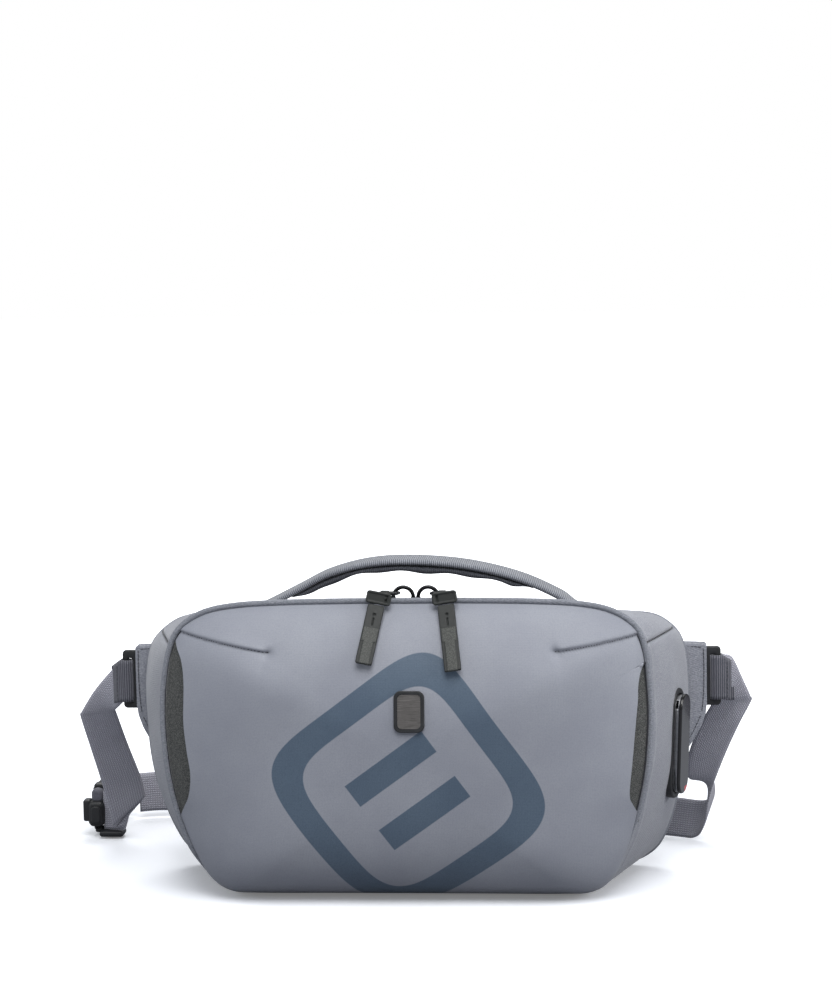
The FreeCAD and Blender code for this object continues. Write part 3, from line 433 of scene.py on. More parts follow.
PRINT_AT = (0.002, 0.068)            # the print's middle, in the frame's metres, like all the print's sizes
PRINT_TILT = math.radians(36)
PRINT_ROUNDING = 5                   # 2 would make the ring a circle, and a large number a square
RING_INNER, RING_OUTER = 0.0475, 0.0620
BAR_OFFSET, BAR_HALF_WIDTH, BAR_HALF_LENGTH = 0.0155, 0.0072, 0.0265


def print_mask(s):
    """The generic print on the front: a tilted round-cornered ring with two diagonal bars inside it."""
    def within(value, limit):
        blur = 0.0003
        return s.ramp(value, limit - blur, limit + blur, 1, 0)

    x, _, z = s.axes(s.place())
    x, z = s.plus(x, -PRINT_AT[0]), s.plus(z, -PRINT_AT[1])
    level, slant = math.cos(PRINT_TILT), math.sin(PRINT_TILT)
    along = s.absolute(s.plus(s.times(x, level), s.times(z, slant)))
    across = s.absolute(s.plus(s.times(z, level), s.times(x, -slant)))
    powers = [s.math("POWER", distance, PRINT_ROUNDING) for distance in (along, across)]
    reach = s.math("POWER", s.plus(*powers), 1 / PRINT_ROUNDING)
    ring = s.times(within(reach, RING_OUTER), s.math("SUBTRACT", 1.0, within(reach, RING_INNER)))
    off_bar = s.absolute(s.plus(across, -BAR_OFFSET))
    bars = s.times(within(off_bar, BAR_HALF_WIDTH), within(along, BAR_HALF_LENGTH))
    return s.math("MAXIMUM", ring, bars)


def coated_cloth():
    s = Shader("coated_fabric", sheen=0.15)
    at = s.place()
    mottle = s.noise(at, 26, 3, 0.55)
    grain = s.noise(at, 1500, 2, 0.6)
    x, _, z = s.axes(at)
    weave = s.times(s.wave(x, 0.00085), s.wave(z, 0.00085))
    cloth = s.mix(s.ramp(mottle, 0.3, 0.7), (138, 141, 151), (145, 148, 157))
    cloth = s.mix(s.ramp(grain, 0.35, 0.75, 0, 0.35), cloth, (122, 125, 136))
    ink = s.mix(s.ramp(mottle, 0.3, 0.7), (72, 88, 106), (79, 95, 112))
    ink = s.mix(s.ramp(grain, 0.4, 0.75, 0, 0.4), ink, (62, 76, 93))
    mask = print_mask(s)
    s.colour(s.mix(mask, cloth, ink))
    s.rough(s.ramp(grain, 0.3, 0.7, 0.52, 0.66))
    s.bump(weave, 0.035, 0.7)
    s.bump(grain, 0.06, 0.6)
    s.bump(s.noise(at, 60, 3, 0.5), 0.25, 0.5)
    return s.bump(mask, 0.05, 0.6).material


def knit_cloth(name, light, dark, fleck):
    """A heathered cloth of fine twisted yarns."""
    s = Shader(name, roughness=0.9, sheen=0.3)
    at = s.place()
    yarn = s.noise(s.stretch(at, 900, 900, 2200), 1.0, 2, 0.6)
    speck = s.noise(at, 1300, 1, 0.5)
    cloud = s.noise(at, 45, 3, 0.6)
    x, y, z = s.axes(at)
    rows = s.wave(s.plus(z, s.times(s.plus(x, y), 0.4)), 0.0013)
    colour = s.mix(s.ramp(yarn, 0.35, 0.68), dark, light)
    colour = s.mix(s.ramp(speck, 0.58, 0.72, 0, 0.55), colour, fleck)
    s.colour(s.mix(s.ramp(cloud, 0.35, 0.7, 0, 0.35), colour, dark))
    s.bump(rows, 0.10, 0.6)
    s.bump(yarn, 0.12, 0.7)
    return s.bump(cloud, 0.5, 0.35).material


def speckled_cloth():
    s = Shader("speckled_fabric", roughness=0.85, sheen=0.2)
    at = s.place()
    fine = s.noise(at, 2100, 1, 0.5)
    broad = s.noise(at, 900, 2, 0.7)
    colour = s.mix(s.ramp(fine, 0.42, 0.62), (48, 49, 49), (94, 95, 92))
    s.colour(s.mix(s.ramp(broad, 0.50, 0.68, 0, 0.45), colour, (42, 43, 44)))
    x, _, z = s.axes(at)
    return s.bump(s.wave(s.plus(z, x), 0.0014), 0.12, 0.6).bump(fine, 0.15, 0.6).material


def webbing(name, light, dark, along_pitch=1.5, across_pitch=1.35, cross_ribs=False):
    """Woven tape. Its UV map holds millimetres across and along."""
    s = Shader(name, roughness=0.78, sheen=0.25)
    u, v, _ = s.axes(s.place("UV"))
    at = s.place()
    if cross_ribs:
        relief = s.wave(v, along_pitch)
        colour = s.mix(s.ramp(relief, 0.15, 0.75), dark, light)
    else:
        twill = s.wave(s.plus(v, s.times(u, 1.1)), along_pitch)
        warp = s.wave(u, across_pitch)
        relief = s.times(twill, warp)
        colour = s.mix(s.ramp(relief, 0.05, 0.55), dark, light)
    fuzz = s.noise(at, 900, 2, 0.6)
    colour = s.mix(s.ramp(fuzz, 0.4, 0.75, 0, 0.35), colour, dark)
    cloud = s.noise(at, 55, 2, 0.5)
    s.colour(s.mix(s.ramp(cloud, 0.4, 0.75, 0, 0.25), colour, dark))
    return s.bump(relief, 0.35, 0.8).bump(fuzz, 0.12, 0.5).material


def mesh_cloth():
    """Open-hole spacer mesh over the back's padding. Its holes are painted near-black as painted shade of
    their depth.
    """
    s = Shader("spacer_mesh", roughness=0.92, sheen=0.2)
    x, _, z = s.axes(s.place())
    pitch = 0.0034
    row_a = s.times(s.wave(x, pitch), s.wave(z, pitch))
    half = s.plus(x, pitch / 2)
    row_b = s.times(s.wave(half, pitch), s.wave(s.plus(z, pitch / 2), pitch))
    hole = s.ramp(s.math("MAXIMUM", row_a, row_b), 0.45, 0.75)
    fuzz = s.noise(s.place(), 1200, 2, 0.6)
    yarn = s.mix(s.ramp(fuzz, 0.35, 0.7), (96, 99, 108), (124, 127, 136))
    # Painted shade: the holes take a near-black colour for the shade down in them.
    s.colour(s.mix(hole, yarn, (40, 41, 46)))
    return s.bump(hole, 0.9, -0.8).bump(fuzz, 0.12, 0.5).material


def black_metal():
    s = Shader("black_metal", metallic=0.75)
    worn = s.noise(s.place(), 220, 4, 0.7)
    s.colour(s.mix(s.ramp(worn, 0.55, 0.75), (34, 35, 37), (62, 63, 66)))
    return s.rough(s.ramp(worn, 0.3, 0.7, 0.28, 0.48)).bump(s.noise(s.place(), 900, 2), 0.03, 0.5).material


def brushed_metal(name, colour, dark):
    s = Shader(name, metallic=1.0)
    lines = s.noise(s.stretch(s.place(), 120, 120, 4200), 1.0, 3, 0.7)
    s.colour(s.mix(s.ramp(lines, 0.3, 0.7), dark, colour))
    return s.rough(s.ramp(lines, 0.3, 0.7, 0.3, 0.5)).bump(lines, 0.03, 0.6).material


def moulded(name, base, light, roughness=(0.38, 0.55), coat=0.0, grain=700):
    """Moulded plastic or rubber with a fine spark-eroded grain."""
    s = Shader(name, coat=coat)
    fine = s.noise(s.place(), grain, 3, 0.6)
    cloud = s.noise(s.place(), 90, 3, 0.6)
    s.colour(s.mix(s.ramp(cloud, 0.45, 0.75, 0, 0.7), base, light))
    return s.rough(s.ramp(fine, 0.3, 0.7, *roughness)).bump(fine, 0.05, 0.5).material


def puller_rubber():
    """Dark rubber. Its UV map holds millimetres across and down a tab, where a lighter pad is moulded in."""
    s = Shader("puller_rubber")
    fine = s.noise(s.place(), 1500, 3, 0.6)
    u, v, _ = s.axes(s.place("UV"))
    off = s.absolute(u)
    head = s.times(s.ramp(off, 4.0, 4.2, 1, 0), s.ramp(v, 22.3, 22.7, 1, 0))
    stem = s.ramp(off, 2.7, 2.9, 1, 0)
    pad = s.times(s.math("MAXIMUM", head, stem), s.ramp(v, 13.9, 14.2))
    rubber = s.mix(s.ramp(fine, 0.35, 0.7), (24, 27, 26), (36, 39, 37))
    speckle = s.mix(s.ramp(fine, 0.42, 0.62), (42, 44, 42), (78, 80, 76))
    s.colour(s.mix(pad, rubber, speckle))
    return s.rough(s.ramp(fine, 0.3, 0.7, 0.5, 0.72)).bump(fine, 0.08, 0.5).material


def foam_material():
    s = Shader("foam", roughness=0.95)
    pores = s.cells(s.place(), 900)
    s.colour(s.mix(s.ramp(pores, 0.2, 0.7), (52, 53, 56), (88, 89, 94)))
    return s.bump(pores, 0.25, 0.8).material


def thread_material(name, dark, light):
    s = Shader(name, roughness=0.7, sheen=0.3)
    twist = s.noise(s.place(), 2600, 1)
    s.colour(s.mix(s.ramp(twist, 0.35, 0.65), dark, light))
    return s.bump(twist, 0.08, 0.6).material


MATERIALS = {
    "coated_fabric": coated_cloth(),
    "knit_fabric": knit_cloth("knit_fabric", (150, 152, 160), (124, 126, 135), (172, 174, 181)),
    "piping_fabric": knit_cloth("piping_fabric", (140, 143, 151), (112, 115, 123), (154, 156, 164)),
    "lining_fabric": knit_cloth("lining_fabric", (98, 101, 109), (76, 79, 87), (120, 122, 129)),
    "speckled_fabric": speckled_cloth(),
    "webbing": webbing("webbing", (194, 194, 204), (146, 145, 155)),
    "webbing_dark": webbing("webbing_dark", (112, 112, 121), (62, 63, 71), 1.15, 1.2, True),
    # A darker copy of handle_webbing: painted shade for the shadowed underside of the handle's padding.
    "underlay_painted_shade": webbing("underlay_painted_shade", (74, 76, 84), (46, 48, 56), 1.15, 1.2, True),
    "handle_webbing": webbing("handle_webbing", (146, 149, 157), (84, 87, 95), 1.15, 1.2, True),
    "spacer_mesh": mesh_cloth(),
    "foam": foam_material(),
    "stiffener_board": moulded("stiffener_board", (60, 61, 64), (78, 79, 83), (0.6, 0.8)),
    "zip_tape": webbing("zip_tape", (92, 94, 100), (60, 62, 68), 0.9, 0.9),
    "nylon_coil": moulded("nylon_coil", (40, 41, 44), (58, 59, 62), (0.3, 0.45)),
    "black_metal": black_metal(),
    "badge_metal": brushed_metal("badge_metal", (150, 146, 143), (112, 108, 105)),
    "moulded_black": moulded("moulded_black", (32, 33, 35), (46, 47, 50)),
    "magnet_steel": brushed_metal("magnet_steel", (150, 151, 154), (118, 119, 122)),
    "puller_rubber": puller_rubber(),
    "gloss_black": moulded("gloss_black", (9, 9, 11), (13, 13, 15), (0.10, 0.16), 0.25, 300),
    "tool_steel": brushed_metal("tool_steel", (176, 177, 180), (140, 141, 144)),
    "red_plastic": moulded("red_plastic", (190, 28, 36), (206, 44, 50), (0.2, 0.32), 0.4),
    "thread": thread_material("thread", (48, 50, 56), (84, 86, 94)),
    "dark_thread": thread_material("dark_thread", (30, 31, 36), (50, 52, 58)),
}


def finish_piece(obj, look, slot, body, *replaced):
    """Gives a piece its material and the body it rides on, and hides the CAD nodes it stands for. Its slot
    argument is not used.
    """
    obj.data.materials.clear()
    obj.data.materials.append(MATERIALS[look])
    if body:
        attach(obj, body)
    if replaced:
        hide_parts(*replaced)
    return obj


# ---------------------------------------------------------------- the bag's two seams

FRONT_SLIP, BACK_SLIP = 1.15, 2.1    # how far the soft bag leans to the left at mid-height

# Down the right-hand half, from the top middle to the base middle: the front seam's x, y and z, the back
# seam's x and z, then how square and how full the front pillow is inside that part of the seam.
SEAMS = np.array([
    (0, -25.0, 168.6, 0, 151.0, 2.50, 0.80), (35, -25.0, 168.6, 36, 151.0, 2.50, 0.80),
    (70, -25.0, 168.0, 72, 151.0, 2.60, 0.80), (97, -25.0, 166.4, 101, 151.0, 2.80, 0.80),
    (115, -25.3, 162.4, 124, 150.4, 3.20, 0.80), (127.5, -26.0, 154.0, 140, 148.2, 3.70, 0.80),
    (133.0, -26.5, 142.0, 151.6, 140.2, 4.00, 0.80), (135.8, -27.0, 124.0, 157.3, 130.0, 4.20, 0.80),
    (136.8, -28.0, 106.0, 159.7, 112.0, 4.20, 0.80), (136.0, -29.0, 88.0, 159.5, 92.0, 4.20, 0.80),
    (134.3, -29.5, 72.0, 158.6, 74.0, 4.20, 0.78), (131.4, -29.5, 57.0, 156.2, 57.0, 4.20, 0.75),
    (127.3, -29.0, 42.0, 152.2, 41.0, 4.10, 0.70), (121.5, -28.0, 26.0, 146.8, 25.0, 4.00, 0.62),
    (114, -24.0, 11.0, 139, 11.5, 4.00, 0.55), (104, -18.0, 2.5, 126, 3.5, 4.00, 0.50),
    (88, -14.0, 0.3, 108, 0.3, 4.00, 0.50), (45, -14.0, 0.3, 54, 0.3, 4.00, 0.50),
    (0, -14.0, 0.3, 0, 0.3, 4.00, 0.50),
])
MIRROR = np.array([-1, 1, 1, -1, 1, 1, 1])
SEAM_LOOP = np.vstack([SEAMS, SEAMS[-2:0:-1] * MIRROR])
SEAM_LOOP[:, 0] -= FRONT_SLIP * smooth(SEAM_LOOP[:, 2] / 60) * smooth((160 - SEAM_LOOP[:, 2]) / 40)
SEAM_LOOP[:, 3] -= BACK_SLIP * smooth(SEAM_LOOP[:, 4] / 60) * smooth((151 - SEAM_LOOP[:, 4]) / 30)
HALF = len(SEAMS) - 1
BACK_Y = 48.0
FACE_Y = -57.6
MIDDLE_Z = 85.0
BAG_MIDDLE = (0, 5, MIDDLE_Z)
SHOULDER_STATION = 5.85          # where the top panel meets the side panels
BASE_STATION = 15.4              # where the side panels meet the base

loop_u = np.linspace(0, 2 * HALF, 2400, endpoint=False)
loop_at = catmull(SEAM_LOOP, loop_u, closed=True)
loop_angle = np.unwrap(np.arctan2(loop_at[:, 0], loop_at[:, 2] - MIDDLE_Z))
loop_reach = np.hypot(loop_at[:, 0], loop_at[:, 2] - MIDDLE_Z)


def seam_at(u):
    """Seam columns at float stations u, which may be negative for the left-hand half."""
    return catmull(SEAM_LOOP, np.mod(u, 2 * HALF), closed=True)


def seam_out(u):
    """Directions across the seams at stations u, level with the front and away from the bag's middle."""
    run = seam_at(u + 0.05) - seam_at(u - 0.05)
    return unit(np.stack([-run[:, 2], np.zeros(len(run)), run[:, 0]], axis=1))


def pillow_y(x, z):
    """Depth of the front pillow over a point."""
    angle = np.mod(np.arctan2(x, z - MIDDLE_Z), 2 * math.pi)
    reach, seam_y, square, full = (np.interp(angle, loop_angle, column, period=2 * math.pi)
                                   for column in (loop_reach, loop_at[:, 1], loop_at[:, 5], loop_at[:, 6]))
    share = np.clip(np.hypot(x, z - MIDDLE_Z) / reach, 0, 1)
    return seam_y + (FACE_Y - seam_y) * (1 - share ** square) ** full


def cloth_panel(name, grid, thickness, look, node, keep=None):
    """A thick cloth over a grid of points that stands for one of the bag's CAD panels."""
    cloth = thicken(face_away(sheet(name, grid, keep=keep), BAG_MIDDLE), thickness)
    finish_piece(cloth, look, look, "root", node)


# ---------------------------------------------------------------- front panel

# The front panel's free side edges: half-width at each height, on the left and on the right.
EDGE_LEFT = np.array([(48, 129.6), (55, 126.0), (62, 122.8), (74, 121.2), (89, 123.2), (104, 124.6),
                      (125, 124.2), (137, 125.6), (145, 129.2), (151, 131.0)])
EDGE_RIGHT = np.array([(48, 129.2), (55, 126.0), (62, 124.0), (81, 125.8), (103, 127.9), (114, 129.0),
                       (121, 129.2), (128, 130.2), (134, 132.4)])
# The outer and inner end of each dart, in x and z.
DARTS = np.array([((-124.5, 152.3), (-75.5, 143.2)), ((131.5, 150.3), (84.0, 143.2))])


def border_point(u):
    """The front panel's outline at stations u: the seam, or the free edge beside the dark insert."""
    at = seam_at(u)
    x, z = at[:, 0].copy(), at[:, 2]
    for sign, edge in ((-1, EDGE_LEFT), (1, EDGE_RIGHT)):
        dense = catmull(edge, np.linspace(0, len(edge) - 1, 200))
        inside = (np.sign(at[:, 0]) == sign) & (z > dense[0][0]) & (z < dense[-1][0]) & (np.abs(x) > 110)
        x[inside] = sign * np.minimum(np.abs(x[inside]), np.interp(z[inside], dense[:, 0], dense[:, 1]))
    return x, z


def free_edge_lift(x, z):
    """How far the free side edges stand off the padding, fading away from them and at their ends."""
    lift = np.zeros_like(x)
    for sign, edge in ((-1, EDGE_LEFT), (1, EDGE_RIGHT)):
        gap = np.abs(np.interp(z, edge[:, 0], edge[:, 1]) - np.abs(x))
        ends = smooth((z - edge[0][0]) / 12) * smooth((edge[-1][0] - z) / 12)
        lift += np.where(np.sign(x) == sign, 1.1 * np.exp(-gap / 7) * ends, 0)
    return lift


def dart_relief(x, z):
    """Sunk seam of each dart, the fold that stands over it and the pucker at its inner end."""
    relief = np.zeros_like(x)
    for outer, inner in DARTS:
        length = np.linalg.norm(inner - outer)
        along = (inner - outer) / length
        t = (x - outer[0]) * along[0] + (z - outer[1]) * along[1]
        above = np.abs(along[0]) * (z - outer[1]) - np.sign(along[0]) * along[1] * (x - outer[0])
        on = smooth((length - t) / 5 + 0.5)
        relief += 1.5 * np.exp(-(above / 0.6) ** 2) * on
        relief -= 1.3 * np.exp(-np.clip(above, 0, None) / 5.0) * smooth(above / 1.2) * on
        relief += 1.0 * np.exp(-np.clip(-above, 0, None) / 9.0) * smooth(-above / 1.2) * on
        from_end = np.hypot(x - inner[0], z - inner[1])
        relief += 1.9 * np.exp(-(from_end / 2.6) ** 2) + 1.3 * np.exp(-(from_end / 11) ** 2)
    return relief


def drape(x, z):
    """Soft unevenness of cloth over padding."""
    wave = 0.5 * np.sin(x / 31.0 + 0.7) * np.sin(z / 24.0 + 0.4) + 0.3 * np.sin(x / 13.0 - z / 17.0)
    return wave * smooth((150 - z) / 40) * smooth(z / 25)


def square_to_border(across, down):
    """Maps a square grid of -1 to 1 onto the front panel's outline."""
    corner_top, corner_base = 5.4, 14.6
    length = np.concatenate([[0], np.cumsum(np.hypot(*np.diff(loop_at[:, [0, 2]], axis=0).T))])

    def run(u):
        return np.interp(u, loop_u, length)

    right_top, right_base, bottom = run(corner_top), run(corner_base), run(HALF)
    reach = np.maximum(np.maximum(np.abs(across), np.abs(down)), 1e-9)
    a, b = across / reach, down / reach
    on_top = b >= 1 - 1e-9
    on_base = b <= -1 + 1e-9
    half_run = np.where(on_top, np.abs(a) * right_top,
                        np.where(on_base, bottom - np.abs(a) * (bottom - right_base),
                                 right_top + (1 - b) / 2 * (right_base - right_top)))
    u = np.interp(half_run, length, loop_u)
    x, z = border_point(u.ravel())
    x, z = x.reshape(u.shape), z.reshape(u.shape)
    left = a < 0
    mirror_x, mirror_z = border_point(-u.ravel())
    x = np.where(left, mirror_x.reshape(u.shape), x)
    z = np.where(left, mirror_z.reshape(u.shape), z)
    pulled = 1 - (1 - reach) ** 1.35
    return pulled * x, MIDDLE_Z + pulled * (z - MIDDLE_Z)


def build_front():
    across, down = np.meshgrid(np.linspace(-1, 1, 321), np.linspace(1, -1, 221))
    x, z = square_to_border(across, down)
    y = pillow_y(x, z) - free_edge_lift(x, z) + dart_relief(x, z) + drape(x, z)
    cloth_panel("front_cloth", np.stack([x, y, z], axis=-1), 1.4, "coated_fabric", "front_panel")
    threads = []
    for outer, inner in DARTS:
        share = np.linspace(0.02, 1.0, 60)[:, None]
        x, z = (outer + (inner - outer) * share).T
        depth = pillow_y(x, z) + dart_relief(x, z)
        threads.append(tube_parts(np.stack([x, depth - 0.1, z], axis=1), 0.36, 6))
    finish_piece(joined("dart_seams", threads), "dark_thread", "piping_fabric", "root")


def build_inserts():
    """The dark lens-shaped cloth between the front panel's free edges and the piping."""
    for name, sign, edge in (("left", -1, EDGE_LEFT), ("right", 1, EDGE_RIGHT)):
        heights = np.linspace(edge[0][0] - 4, edge[-1][0] + 4, 110)
        inner = np.interp(heights, edge[:, 0], edge[:, 1]) - 4
        table = SEAMS[4:14]
        outer = np.interp(heights, table[::-1, 2], table[::-1, 0])
        share = np.linspace(0, 1, 18)[None, :]
        x = sign * (inner[:, None] + (outer - inner)[:, None] * share)
        z = np.repeat(heights[:, None], share.shape[1], axis=1)
        y = pillow_y(x, z) + 1.3 * smooth((1 - share) * 4) + 0.2
        grid = np.stack([x, y, z], axis=-1)
        cloth_panel(f"insert_cloth_{name}", grid, 1.0, "speckled_fabric", f"pocket_insert_{name}")


# ---------------------------------------------------------------- gusset: top, sides and base

def gusset_grid(stations, shares):
    """Points of the gusset at seam stations and shares of the way back, with its softness."""
    at = seam_at(stations)
    front, back = at[:, :3], np.stack([at[:, 3], np.full(len(at), BACK_Y), at[:, 4]], axis=1)
    grid = front[:, None] + (back - front)[:, None] * shares[None, :, None]
    x, z = at[:, 0], at[:, 2]
    fullness = 2.4 * smooth((np.abs(x) - 105) / 20) * smooth(z / 60)
    ridge = 0.55 * np.exp(-((shares - 0.085) / 0.022) ** 2)
    swell = 4 * shares * (1 - shares)
    offset = fullness[:, None] * swell[None, :] + ridge[None, :] * smooth((z - 8) / 10)[:, None]
    ripple = 0.35 * np.sin(stations * 2.1 + 1.3)[:, None] * np.sin(shares * 9 + 0.6)[None, :]
    offset = offset + ripple * smooth((np.abs(x) - 100) / 20)[:, None]
    for seam in (SHOULDER_STATION, BASE_STATION):
        gap = np.abs(np.abs(stations) - seam) * 14
        offset = offset - (0.9 * np.exp(-(gap / 1.1) ** 2))[:, None]
    return grid + offset[:, :, None] * seam_out(stations)[:, None, :]


def with_extra(values, extra):
    """Sorted values with a few more put in between."""
    return np.unique(np.round(np.concatenate([values, extra]), 6))


SIDE_CLOTH = 1.5                              # thickness
SLOT_FRONT_Y, SLOT_BACK_Y, SLOT_HALF = -21.3, -6.7, 96.8
DOCK_AT = np.array([146.6, 20.0, 79.0])
DOCK_NORMAL = np.array([0.95301, -0.30048, -0.03839])
DOCK_RADIUS, DOCK_HALF_LENGTH = 10.5, 32.0


def slot_share(y):
    """The share of the way back, across the top panel, at a depth y."""
    return (y - SEAMS[0][1]) / (BACK_Y - SEAMS[0][1])


def build_top():
    shares = with_extra(np.linspace(0, 1, 60), [slot_share(SLOT_FRONT_Y), slot_share(SLOT_BACK_Y)])
    slot_station = 3 * SLOT_HALF / SEAMS[3][0]
    stations = np.linspace(-SHOULDER_STATION, SHOULDER_STATION, 200)
    stations = with_extra(stations, [-slot_station, slot_station])
    grid = gusset_grid(stations, shares)
    middle = (stations[1:] + stations[:-1]) / 2
    share_middle = (shares[1:] + shares[:-1]) / 2
    y = SEAMS[0][1] + share_middle * (BACK_Y - SEAMS[0][1])
    in_slot = (np.abs(middle) < slot_station)[:, None] & ((y > SLOT_FRONT_Y) & (y < SLOT_BACK_Y))[None, :]
    cloth_panel("top_cloth", grid, SIDE_CLOTH, "knit_fabric", "top_panel", ~in_slot)

    welts = []
    for y, lean in ((SLOT_FRONT_Y, 0.3), (SLOT_BACK_Y, -0.3)):
        line = gusset_grid(np.linspace(-slot_station, slot_station, 90), np.array([slot_share(y)]))[:, 0]
        welts.append(tube_parts(line + (0, lean, -0.3), 0.9, 8))
    for sign in (-1, 1):
        line = gusset_grid(np.array([sign * slot_station]),
                           np.linspace(slot_share(SLOT_FRONT_Y), slot_share(SLOT_BACK_Y), 12))[0]
        welts.append(tube_parts(line + (0, 0, -0.3), 0.9, 8))
    finish_piece(joined("zip_welts", welts), "piping_fabric", "piping_fabric", "root")


def inside_dock(centres, margin):
    """Which points lie in the dock's footprint, seen along the dock's own axis."""
    side = unit(np.cross(Z_AXIS, DOCK_NORMAL))
    offset = centres - DOCK_AT
    across, along = offset @ side, offset @ np.cross(DOCK_NORMAL, side)
    past_straight = np.clip(np.abs(along) - (DOCK_HALF_LENGTH - DOCK_RADIUS), 0, None)
    return np.hypot(across, past_straight) < DOCK_RADIUS - margin


def build_sides():
    shares = np.linspace(0, 1, 90)
    for name, sign in (("left", -1), ("right", 1)):
        stations = np.linspace(SHOULDER_STATION, BASE_STATION, 190) * sign
        grid = gusset_grid(stations, shares)
        keep = None
        if sign > 0:
            centres = (grid[1:, 1:] + grid[:-1, 1:] + grid[1:, :-1] + grid[:-1, :-1]) / 4
            keep = ~inside_dock(centres, 0.8)
        cloth_panel(f"side_cloth_{name}", grid, SIDE_CLOTH, "knit_fabric", f"side_panel_{name}", keep)

    stations = np.linspace(BASE_STATION, 2 * HALF - BASE_STATION, 140)
    grid = gusset_grid(stations, np.linspace(0, 1, 40))
    cloth_panel("base_cloth", grid, SIDE_CLOTH, "knit_fabric", "base_panel")

    rows = []
    for sign in (-1, 1):
        line = gusset_grid(np.array([sign * SHOULDER_STATION]), np.linspace(0.05, 0.96, 60))[0]
        rows.append(line + (sign * 0.15, 0, 0.15))
    thread = stitches("shoulder_stitches", rows, 3.4, 2.5, 0.5)
    finish_piece(thread, "dark_thread", "piping_fabric", "root")


def build_piping():
    """The covered cord along the front seam, tapering at its ends, and a dark line inside it that is painted
    shadow of the gap between the cord and the front cloth.
    """
    stations = np.linspace(-13.9, 12.6, 420)
    seam, out = seam_at(stations)[:, :3], seam_out(stations)
    shown = smooth((stations + 14.0) / 1.4) * smooth((12.7 - stations) / 1.8)
    path = seam + out * (1.4 * shown - 0.7)[:, None] - 0.7 * Y_AXIS
    cord = joined("piping_cord", [tube_parts(path, 0.5 + 1.2 * shown, 14)])
    finish_piece(cord, "piping_fabric", "piping_fabric", "root", "front_piping")
    # Painted shadow: a dark tube in the joint, thicker down the sides where the shadow under the cord is
    # widest.
    radius = 0.3 + 0.35 * smooth((np.abs(stations) - 3.5) / 2)
    line = joined("piping_painted_shadow", [tube_parts(seam - out * 1.15 - Y_AXIS, radius, 8)])
    finish_piece(line, "dark_thread", "piping_fabric", "root")


# ---------------------------------------------------------------- the back

def loop_fill(inset, y_edge, y_middle, power, rows=90):
    """A sheet that fills the back seam's outline, drawn in by inset and swelling to y_middle."""
    stations = np.linspace(0, 2 * HALF, 240, endpoint=False)
    at = seam_at(stations)[:, 3:5]
    middle = np.array([0, 78.0])
    edge = at - unit(at - middle) * inset
    share = 1 - (1 - np.linspace(0, 1, rows)) ** 1.3
    xz = middle + (edge - middle)[None] * share[:, None, None]
    y = y_edge + (y_middle - y_edge) * (1 - share ** power)
    return np.stack([xz[..., 0], np.repeat(y[:, None], len(stations), axis=1), xz[..., 1]], axis=-1)


def fan(name, grid):
    """A closed fan mesh from rings of points around a middle point."""
    rows, columns = grid.shape[:2]
    faces = [tuple(reversed(f)) for f in grid_faces(rows, columns, closed=True)]
    return new_object(name, grid.reshape(-1, 3), faces[columns:] + [tuple(range(columns, 2 * columns))])


def build_back():
    grid = loop_fill(0.2, BACK_Y - 0.6, BACK_Y + 0.2, 8)
    cloth = thicken(face_away(fan("back_cloth", grid), BAG_MIDDLE), 1.5)
    finish_piece(cloth, "knit_fabric", "knit_fabric", "root", "back_panel")
    stations = np.linspace(-HALF, HALF, 500)
    at = seam_at(stations)
    rim = np.stack([at[:, 3] * 0.995, np.full(len(at), BACK_Y + 0.2), at[:, 4] - 0.3], axis=1)
    rim[:, 2] = np.clip(rim[:, 2], 1.6, None)
    binding = joined("back_binding", [tube_parts(rim, 1.2)])
    finish_piece(binding, "piping_fabric", "piping_fabric", "root")


PAD_RIGHT = [(112, 135.5), (118, 131), (118, 72), (122, 65), (134, 62), (138, 56), (131, 24), (120, 16)]
PAD_OUTLINE = PAD_RIGHT + [(-x, z) for x, z in reversed(PAD_RIGHT)]
PAD_SEAMS = [((-60, 20), (-60, 132)), ((60, 20), (60, 132)), ((-60, 76), (60, 76))]


def simulate_pad(obj, pressure, cap):
    """Swells a closed mesh with the cloth solver, then limits how far each point moved."""
    rest = np.array([v.co for v in obj.data.vertices], float)
    cloth = obj.modifiers.new("cloth", "CLOTH")
    cloth.settings.use_pressure = True
    cloth.settings.uniform_pressure_force = pressure
    cloth.settings.effector_weights.gravity = 0
    cloth.settings.quality = 5
    scene = bpy.context.scene
    for step in range(1, 21):
        scene.frame_set(step)
    bake(obj)
    scene.frame_set(1)
    shift = np.array([v.co for v in obj.data.vertices], float) - rest
    size = np.linalg.norm(shift, axis=1)[:, None]
    return rest + shift * np.minimum(1, cap * MM / np.maximum(size, 1e-9))


